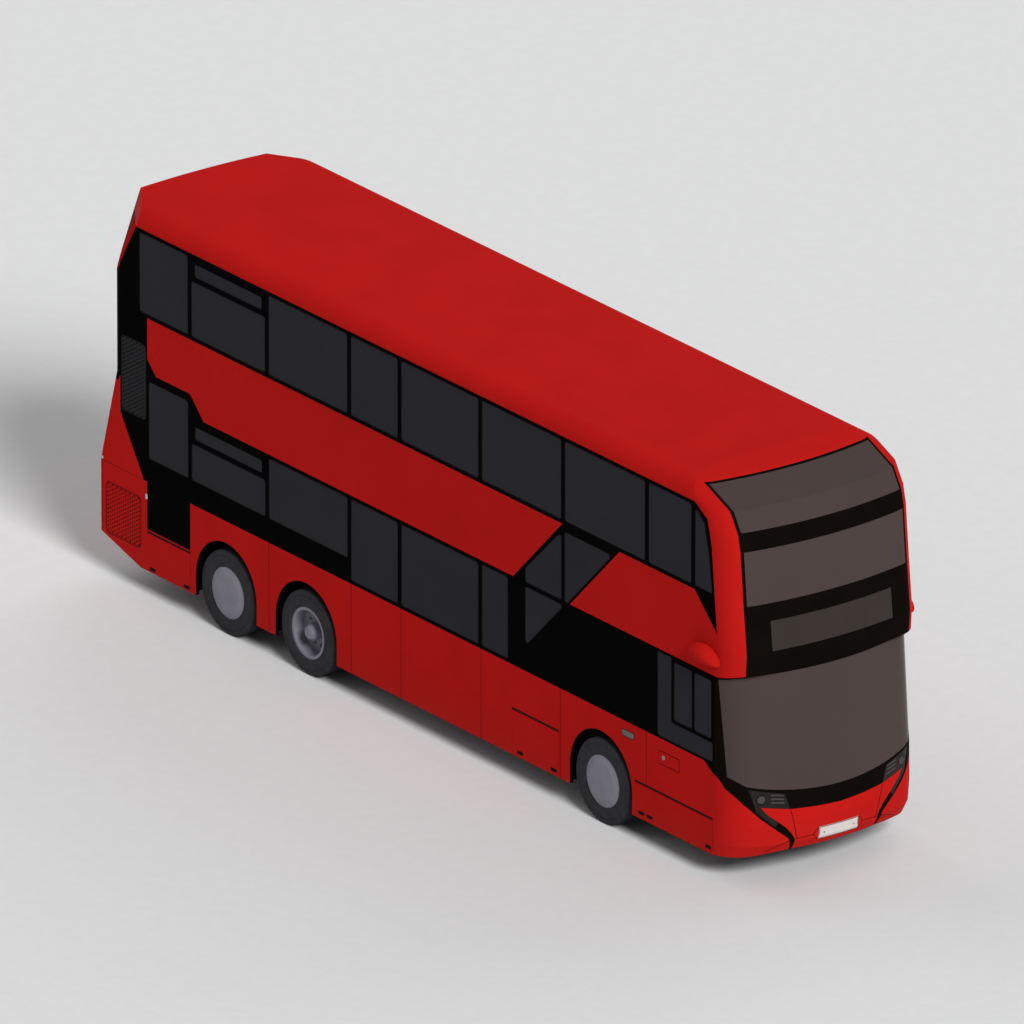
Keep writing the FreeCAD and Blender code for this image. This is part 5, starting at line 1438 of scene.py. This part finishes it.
# ------------------------------------------------------------------ rear
@dataclass
class RearTrim(Trim):
    """Red facet plates, lamp clusters, window gasket, handle and high stop lamp of the rear.

    Args:
        facet_reach: how far ahead of the tail the facet meets the flat side.
        face_set: how far the upper rear face lies ahead of the tail.
        facet_rear: (distance from the middle plane, height) of the facet's two rear corners.
        cant: height at which the facet meets the roof.
        corner: radius of the rear corners.
        red_share: how far the red runs along the facet's head.
    """

    facet_reach: float = 0.685
    face_set: float = 0.215
    facet_rear: Line = ((0.875, 4.5), (1.12, 3.87))
    cant: float = 4.315
    corner: float = 0.17
    red_share: float = 0.40

    def build(self) -> None:
        """Models everything on the rear."""
        self._facets()
        self._lamps()
        self._window()
        self._cover()

    def _facets(self) -> None:
        """Red plate over each roof-corner facet, but for a black sliver at its upper rear."""
        wall, tail = self.layout.half, self.layout.tail
        foot = Vector((tail + self.facet_reach, wall, self.cant))
        rear = [Vector((tail + self.face_set, y, z)) for y, z in self.facet_rear]
        normal = (rear[1] - rear[0]).cross(foot - rear[0]).normalized()
        if normal.y < 0:
            normal = -normal
        across = Vector((-normal.y, normal.x, 0)).normalized()
        start = Vector((foot.x + 0.003 * normal.z / normal.x, wall, self.cant - 0.003))
        outline = [start, start + across * self.red_share]
        for degrees in (60, 48, 35, 25, 15, 7, 0):
            turn = math.radians(degrees)
            x = tail + self.face_set + self.corner * (1 - math.sin(turn))
            y = wall - self.corner * (1 - math.cos(turn))
            drop = ((x - foot.x) * normal.x + (y - wall) * normal.y) / normal.z
            outline.append(Vector((x, y, self.cant - drop)))
        for side in Side:
            mirror = Vector((1, side.value, 1))
            mesh = bmesh.new()
            add_tube(mesh, [[(point + normal * lift) * mirror for point in outline]
                            for lift in (THIN, -0.003)])
            finished(mesh, f"facet_strip_{side.label}", RED_MATT)

    def _lamps(self) -> None:
        """Round lamps in each upright cluster: indicator, stop, tail, reverse and fog."""
        aft = Vector((-1, 0, 0))
        for low, high in loose_parts("tail_lamps"):
            for share, radius, finish, name in (
                    (0.86, 0.058, AMBER_LENS, "indicator"), (0.66, 0.058, TAIL_LENS, "stop"),
                    (0.46, 0.058, TAIL_LENS, "tail"), (0.27, 0.05, CLEAR_LENS, "reverse"),
                    (0.09, 0.042, TAIL_LENS, "fog")):
                mesh = bmesh.new()
                centre = Vector((low.x, (low.y + high.y) / 2, low.z + (high.z - low.z) * share))
                add_rod(mesh, centre - aft * 0.004, centre + aft * 0.0012, radius, 40)
                for ring in (0.92, 0.74, 0.5, 0.24):
                    rise = 0.0028 * math.sqrt(1 - (ring * 0.9) ** 2)
                    add_rod(mesh, centre, centre + aft * rise, radius * ring, 40,
                            radius * ring * 0.96)
                finished(mesh, f"{name}_lamp_{Side.of(low.y).label}", finish)

    def _window(self) -> None:
        """Gasket round the rear window, and the high stop lamp over it."""
        low, high = box_of("rear_window")
        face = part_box("rear_upper")[0][0]
        mesh = bmesh.new()
        add_gasket(mesh, round_outline(low.y, high.y, low.z, high.z, 0.08, 6), 0.018,
                   lambda spot, is_top: (face + (-0.002 if is_top else 0.004), spot.x, spot.y))
        finished(mesh, "rear_gasket", RUBBER)
        mesh = bmesh.new()
        z = high.z + 0.04
        add_box(mesh, (face - 0.006, -0.18, z), (face + 0.004, 0.18, z + 0.028))
        soften(finished(mesh, "high_stop_lamp", TAIL_LENS), 0.003)

    def _cover(self) -> None:
        """Pull handle and two edge latches of the engine cover."""
        low, _ = box_of("engine_cover")
        face, z = low.x, low.z + 0.055
        mesh = bmesh.new()
        add_box(mesh, (face - 0.0012, -0.11, z - 0.022), (face + 0.004, 0.11, z + 0.022))
        add_box(mesh, (face - 0.0018, -0.085, z + 0.002), (face + 0.002, 0.085, z + 0.014))
        for y in (-0.62, 0.62):
            add_rod(mesh, (face + 0.004, y, z), (face - 0.0015, y, z), 0.018, 28)
        finished(mesh, "cover_handle", DARK, body="engine_cover")


# ------------------------------------------------------------------ entrance
@dataclass
class DoorTrim:
    """Pane gaskets and grab rails of the entrance leaves.

    Args:
        rail: heights of a grab rail's foot and head.
    """

    rail: Tuple[float, float] = (0.95, 1.75)

    def build(self) -> None:
        """Models the trim of both leaves."""
        foot, head = self.rail
        for name in ("front", "rear"):
            low, _ = box_of(f"door_leaf_{name}")
            pane_low, pane_high = box_of(f"door_glass_{name}")
            middle = (pane_low.y + pane_high.y) / 2
            mesh = bmesh.new()
            outline = round_outline(pane_low.x, pane_high.x, pane_low.z, pane_high.z, 0.035)
            for start, end in around(outline):
                band = line_outline(start, end, 0.012)
                for way in (-1, 1):
                    add_tube(mesh, [[(x, middle + way * reach, z) for x, z in band]
                                    for reach in (0.0207, 0.0155)])
            finished(mesh, f"door_gasket_{name}", RUBBER, body=f"door_{name}")
            mesh = bmesh.new()
            x = pane_low.x + 0.03 if name == "front" else pane_high.x - 0.03
            y = low.y - 0.018
            add_rod(mesh, (x, y, foot), (x, y, head), 0.011, 16)
            for z in (foot + 0.02, head - 0.02):
                add_rod(mesh, (x, y, z), (x, low.y + 0.006, z), 0.009, 12)
            finished(mesh, f"door_rail_{name}", RAIL, f"door_{name}")


# ------------------------------------------------------------------ interior
@dataclass
class SeatPads:
    """Crowned two-place cushions and backs with sewn channels, on shells and frames.

    Args:
        crown: height of the crown over a pad's edges.
        channel: depth of a sewn channel.
        columns: grid columns of one place.
        rows: grid rows of a pad.
        tray: thickness of the tray under a cushion.
        shell: thickness of the shell behind a back.
    """

    crown: float = 0.022
    channel: float = 0.007
    columns: int = 14
    rows: int = 14
    tray: float = 0.016
    shell: float = 0.018

    def build(self) -> None:
        """Models every seat and replaces the plain ones."""
        soft, hard, metal = (bmesh.new() for _ in range(3))
        for low, high in loose_parts("seats"):
            tall = high.z - low.z
            if tall > 0.5:
                self._back(soft, hard, metal, low, high)
            elif high.x - low.x > 0.3 or tall < 0.2:
                self._cushion(soft, hard, low, high)
            else:
                self._pedestal(metal, low, high)
        cloth = finished(soft, "seat_pads", SEAT_CLOTH, sharp=60)
        shells = finished(hard, "seat_shells", SEAT_SHELL)
        frames = finished(metal, "seat_frames", RAIL)
        for piece in (cloth, shells, frames):
            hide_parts("seats")

    def _pad(self, mesh: Mesh, corner: Vector, along: Vector, across: Vector, up: Vector,
             thick: float) -> None:
        """Adds one closed crowned pad.

        Args:
            mesh: the mesh that it joins.
            corner: lowest corner of its underside.
            along: its depth as a vector.
            across: its width as a vector.
            up: unit vector out of its top.
            thick: thickness at its edges.
        """
        top = [[mesh.verts.new(self._on_top(i / self.rows, j / self.columns, corner, along,
                                            across, up, thick))
                for j in range(self.columns + 1)] for i in range(self.rows + 1)]
        for near, far in zip(top, top[1:]):
            for j in range(self.columns):
                mesh.faces.new((near[j], near[j + 1], far[j + 1], far[j]))
        ring = (top[0] + [row[-1] for row in top[1:]] + top[-1][-2::-1]
                + [row[0] for row in top[-2:0:-1]])
        centre = corner + (along + across) / 2
        above = ring
        for rise, size in ((0.2475, 1.0), (0.0, 0.95)):
            below = []
            for vert in ring:
                flat = vert.co - up * (vert.co - corner).dot(up)
                below.append(mesh.verts.new(centre + (flat - centre) * size + up * thick * rise))
            bridge(mesh, above, below)
            above = below
        mesh.faces.new(above[::-1])

    def _on_top(self, u: float, v: float, corner: Vector, along: Vector, across: Vector,
                up: Vector, thick: float) -> Vector:
        """Place on a pad's crowned and sewn top.

        Args:
            u: share of its depth.
            v: share of its width.
            corner: lowest corner of the pad's underside.
            along: its depth as a vector.
            across: its width as a vector.
            up: unit vector out of its top.
            thick: thickness at its edges.

        Returns:
            The point.
        """
        swell = (1 - abs(2 * u - 1) ** 3.2) * (1 - abs(2 * v - 1) ** 3.2)
        height = thick - self.crown * (1 - swell)
        for share, seam, depth in ((u, 0.3, self.channel), (u, 0.62, self.channel),
                                   (v, 0.22, self.channel * 0.7), (v, 0.78, self.channel * 0.7)):
            height -= depth * math.exp(-((share - seam) / 0.03) ** 2)
        pull = 0.012 * (1 - abs(2 * v - 1) ** 2) * (0.5 - u)
        return corner + along * u + across * v + up * height + along * pull

    @staticmethod
    def _places(low: Vector, high: Vector) -> List[Spot]:
        """Finds where the one or two places of a seat lie.

        Args:
            low: lowest corner of the seat's box.
            high: highest corner.

        Returns:
            Limits of each place across the bus.
        """
        start, end = low.y + 0.008, high.y - 0.008
        if high.y - low.y < 0.6:
            return [(start, end)]
        middle = (low.y + high.y) / 2
        return [(start, middle - 0.006), (middle + 0.006, end)]

    def _cushion(self, soft: Mesh, hard: Mesh, low: Vector, high: Vector) -> None:
        """Adds a seat's cushion pads on their tray.

        Args:
            soft: mesh of the pads.
            hard: mesh of the trays.
            low: lowest corner of the cushion's box.
            high: highest corner.
        """
        x, z = low.x + 0.004, low.z + self.tray
        add_box(hard, (x, low.y + 0.004, low.z + 0.002), (high.x - 0.01, high.y - 0.004, z))
        for y0, y1 in self._places(low, high):
            self._pad(soft, Vector((x, y0, z)), Vector((high.x - low.x - 0.01, 0, 0)),
                      Vector((0, y1 - y0, 0)), Vector((0, 0, 1)), high.z - z - 0.002)

    def _back(self, soft: Mesh, hard: Mesh, metal: Mesh, low: Vector, high: Vector) -> None:
        """Adds a seat's back pads on their shell, with a grab rail over it.

        Args:
            soft: mesh of the pads.
            hard: mesh of the shells.
            metal: mesh of the rails.
            low: lowest corner of the back's box.
            high: highest corner.
        """
        foot = Vector((high.x - 0.085, 0, low.z + 0.01))
        head = Vector((low.x + 0.004, 0, high.z - 0.03))
        lean = head - foot
        out = Vector((lean.z, 0, -lean.x)).normalized()
        corners = (foot, head, head + out * self.shell, foot + out * self.shell)
        base = foot + out * (self.shell + 0.001)
        for y0, y1 in self._places(low, high):
            add_tube(hard, [[(corner.x, y, corner.z) for corner in corners] for y in (y0, y1)])
            self._pad(soft, Vector((base.x, y0 + 0.006, base.z)), lean * 0.985,
                      Vector((0, y1 - y0 - 0.012, 0)), out, 0.05)
        x, z = low.x + 0.03, high.z - 0.013
        add_rod(metal, (x, low.y + 0.03, z), (x, high.y - 0.03, z), 0.012, 16)
        for y in (low.y + 0.05, high.y - 0.05):
            add_rod(metal, (x, y, z), (x - 0.01, y, z - 0.05), 0.009, 12)

    @staticmethod
    def _pedestal(metal: Mesh, low: Vector, high: Vector) -> None:
        """Adds a two-legged pedestal with a foot plate and a head plate.

        Args:
            metal: the mesh that it joins.
            low: lowest corner of its box.
            high: highest corner.
        """
        add_box(metal, low, (high.x, high.y, low.z + 0.008))
        add_box(metal, (low.x, low.y, high.z - 0.01), high)
        x = (low.x + high.x) / 2
        for y in (low.y + 0.05, high.y - 0.05):
            add_rod(metal, (x, y, low.z + 0.006), (x, y, high.z - 0.008), 0.022, 20)


@dataclass
class Saloon:
    """Stair edges and ceiling light strips.

    Args:
        floor_z: height that the stairs start from.
        going: depth of a stair.
        stairs: number of stairs.
    """

    floor_z: float = 0.38
    going: float = 0.2
    stairs: int = 10

    def build(self) -> None:
        """Models the fittings."""
        low, high = box_of("staircase")
        rise = (high.z - self.floor_z) / self.stairs
        mesh = bmesh.new()
        for i in range(self.stairs):
            x, z = low.x + i * self.going, self.floor_z + (i + 1) * rise
            add_box(mesh, (x + 0.001, low.y + 0.02, z - 0.003),
                    (x + 0.035, high.y - 0.02, z + 0.003))
        finished(mesh, "stair_edges", RAIL)
        mesh = bmesh.new()
        for y in (-0.42, 0.42):
            for x in (-5.0, -3.4, -1.8, -0.2):
                add_box(mesh, (x, y - 0.05, 4.485), (x + 1.4, y + 0.05, 4.5))
                add_box(mesh, (x + 0.1, y - 0.04, 2.376), (x + 1.3, y + 0.04, 2.392))
        soften(finished(mesh, "ceiling_lights", CLEAR_LENS), 0.004)


# ------------------------------------------------------------------ underside
@dataclass
class AirBellows(Trim):
    """Rubber air springs round the posts between the rear axles and the frame.

    Args:
        post_y: distance of the posts from the middle plane.
        bore: radius of the hole for the post.
        neck: radius at the ends and between the folds.
        radius: radius of a fold.
        foot: height of its foot.
        head: height of its head.
        steps: sections round it.
    """

    post_y: float = 0.43
    bore: float = 0.074
    neck: float = 0.1
    radius: float = 0.125
    foot: float = 0.585
    head: float = 0.785
    steps: int = 40

    def build(self) -> None:
        """Models the four air springs."""
        foot, head, neck = self.foot, self.head, self.neck
        section = [(self.bore, foot), (neck, foot), (neck, foot + 0.012)]
        for base in (foot + 0.014, foot + 0.094):
            section += [(neck + (self.radius - neck) * math.sin(math.pi * k / 6),
                         base + 0.076 * k / 6) for k in range(7)]
        section += [(neck, head - 0.012), (neck, head), (self.bore, head)]
        mesh = bmesh.new()
        for x in self.layout.axles[1:]:
            for y in (-self.post_y, self.post_y):
                add_turned(mesh, [Vector((radius, 0, z)) for radius, z in section],
                           Vector((x, y, 0)), Vector((0, 0, 1)), self.steps)
        bmesh.ops.remove_doubles(mesh, verts=mesh.verts, dist=MERGE)
        finished(mesh, "air_bellows", RUBBER, sharp=45)


# ------------------------------------------------------------------ stage
@dataclass
class Stage:
    """Floor, light and camera.

    Args:
        floor_size: side of the floor.
        lens: focal length of the camera, long enough for a near-parallel view.
        sensor: width of its sensor.
        view_width: metres that the picture spans at the bus.
        direction: where the camera is, seen from the bus.
        aim_shift: how far ahead of the bus's middle it aims.
        aim_z: height at which it aims.
    """

    floor_size: float = 400.0
    lens: float = 1400.0
    sensor: float = 36.0
    view_width: float = 11.2035
    direction: Tuple[float, float, float] = (4.0, -3.0, 2.0)
    aim_shift: float = -0.0225
    aim_z: float = 2.287

    def build(self) -> None:
        """Makes the whole stage."""
        self._floor()
        self._world()
        self._lights()
        self._camera()

    def _floor(self) -> None:
        """Plain pale floor."""
        mesh = bmesh.new()
        bmesh.ops.create_grid(mesh, x_segments=4, y_segments=4, size=self.floor_size / 2)
        data = bpy.data.meshes.new("floor")
        mesh.to_mesh(data)
        mesh.free()
        floor = bpy.data.objects.new("floor", data)
        bpy.context.scene.collection.objects.link(floor)
        data.materials.append(PALE_FLOOR.material())
        floor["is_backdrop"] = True

    @staticmethod
    def _world() -> None:
        """Dim light from all round, and white for the camera beyond the floor."""
        world = bpy.data.worlds.new("studio")
        bpy.context.scene.world = world
        world.use_nodes = True
        tree = world.node_tree
        dim = next(n for n in tree.nodes if n.type == "BACKGROUND")
        dim.inputs["Color"].default_value = (0.94, 0.96, 1.0, 1.0)
        dim.inputs["Strength"].default_value = 0.17
        white = add_node(tree, "Background", {"Color": (1.0, 1.0, 1.0, 1.0), "Strength": 1.0})
        path = add_node(tree, "LightPath", {})
        mix = add_node(tree, "MixShader", {"Fac": path.outputs["Is Camera Ray"],
                                           1: dim.outputs[0], 2: white.outputs[0]})
        out = next(n for n in tree.nodes if n.type == "OUTPUT_WORLD")
        tree.links.new(mix.outputs[0], out.inputs["Surface"])

    @staticmethod
    def _lights() -> None:
        """Key light from the front and above, with a softer fill and back light."""
        for name, towards, energy, spread in (("key", (-0.80, 0.16, -0.58), 2.7, 20.0),
                                              ("fill", (0.35, -0.8, -0.5), 0.8, 60.0),
                                              ("back", (0.8, 0.2, -0.5), 0.7, 60.0)):
            lamp = bpy.data.lights.new(name, "SUN")
            lamp.energy = energy
            lamp.angle = math.radians(spread)
            holder = bpy.data.objects.new(name, lamp)
            holder.rotation_euler = Vector(towards).to_track_quat("-Z", "Y").to_euler()
            holder.visible_glossy = False
            bpy.context.scene.collection.objects.link(holder)

    def _camera(self) -> None:
        """Long camera that looks down on the right front corner."""
        low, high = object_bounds()
        aim = Vector(((low[0] + high[0]) / 2 + self.aim_shift, 0.0, self.aim_z))
        data = bpy.data.cameras.new("camera")
        data.type = "PERSP"
        data.lens = self.lens
        data.sensor_width = self.sensor
        distance = self.view_width * self.lens / self.sensor
        data.clip_start = 10.0
        data.clip_end = distance * 3
        camera = bpy.data.objects.new("camera", data)
        back = Vector(self.direction).normalized()
        camera.location = aim + back * distance
        camera.rotation_euler = (-back).to_track_quat("-Z", "Y").to_euler()
        bpy.context.scene.collection.objects.link(camera)
        bpy.context.scene.camera = camera


def dress_nodes(nodes: Dict[str, bpy.types.Object]) -> None:
    """Gives every CAD node its finish.

    Args:
        nodes: the CAD objects by name.
    """
    for name, node in nodes.items():
        finish = next((f for f, starts in NODE_FINISH.items() if name.startswith(starts)), None)
        if finish is None:
            raise ValueError(f"no finish for {name}")
        node.data.materials.clear()
        node.data.materials.append(finish.material())


def main() -> None:
    """Builds the dressed bus."""
    logging.basicConfig(level=logging.INFO, format="%(name)s: %(message)s")
    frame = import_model()
    bpy.context.scene.view_settings.view_transform = "Standard"
    Stage().build()
    dress_nodes(frame["nodes"])
    parts: List[Any] = []
    for side in Side:
        parts += [Tyre(place, side) for place in ("front", "drive", "tag")]
        parts += [WheelCover(place, side) for place in ("front", "tag")]
        parts.append(WheelTrim("drive", side))
    layout = Layout.read()
    parts += [kind(layout) for kind in (PanelSeams, ArchLips, FlapLatches, SideLamps, MeshGrille,
                                        PaneGaskets, WindowTrim, FrontTrim, CameraPod, RearTrim)]
    parts += [DoorTrim(), SeatPads(), Saloon(), AirBellows(layout)]
    for part in parts:
        LOG.info("%s", part)
        part.build()


if __name__ == "__main__":
    main()
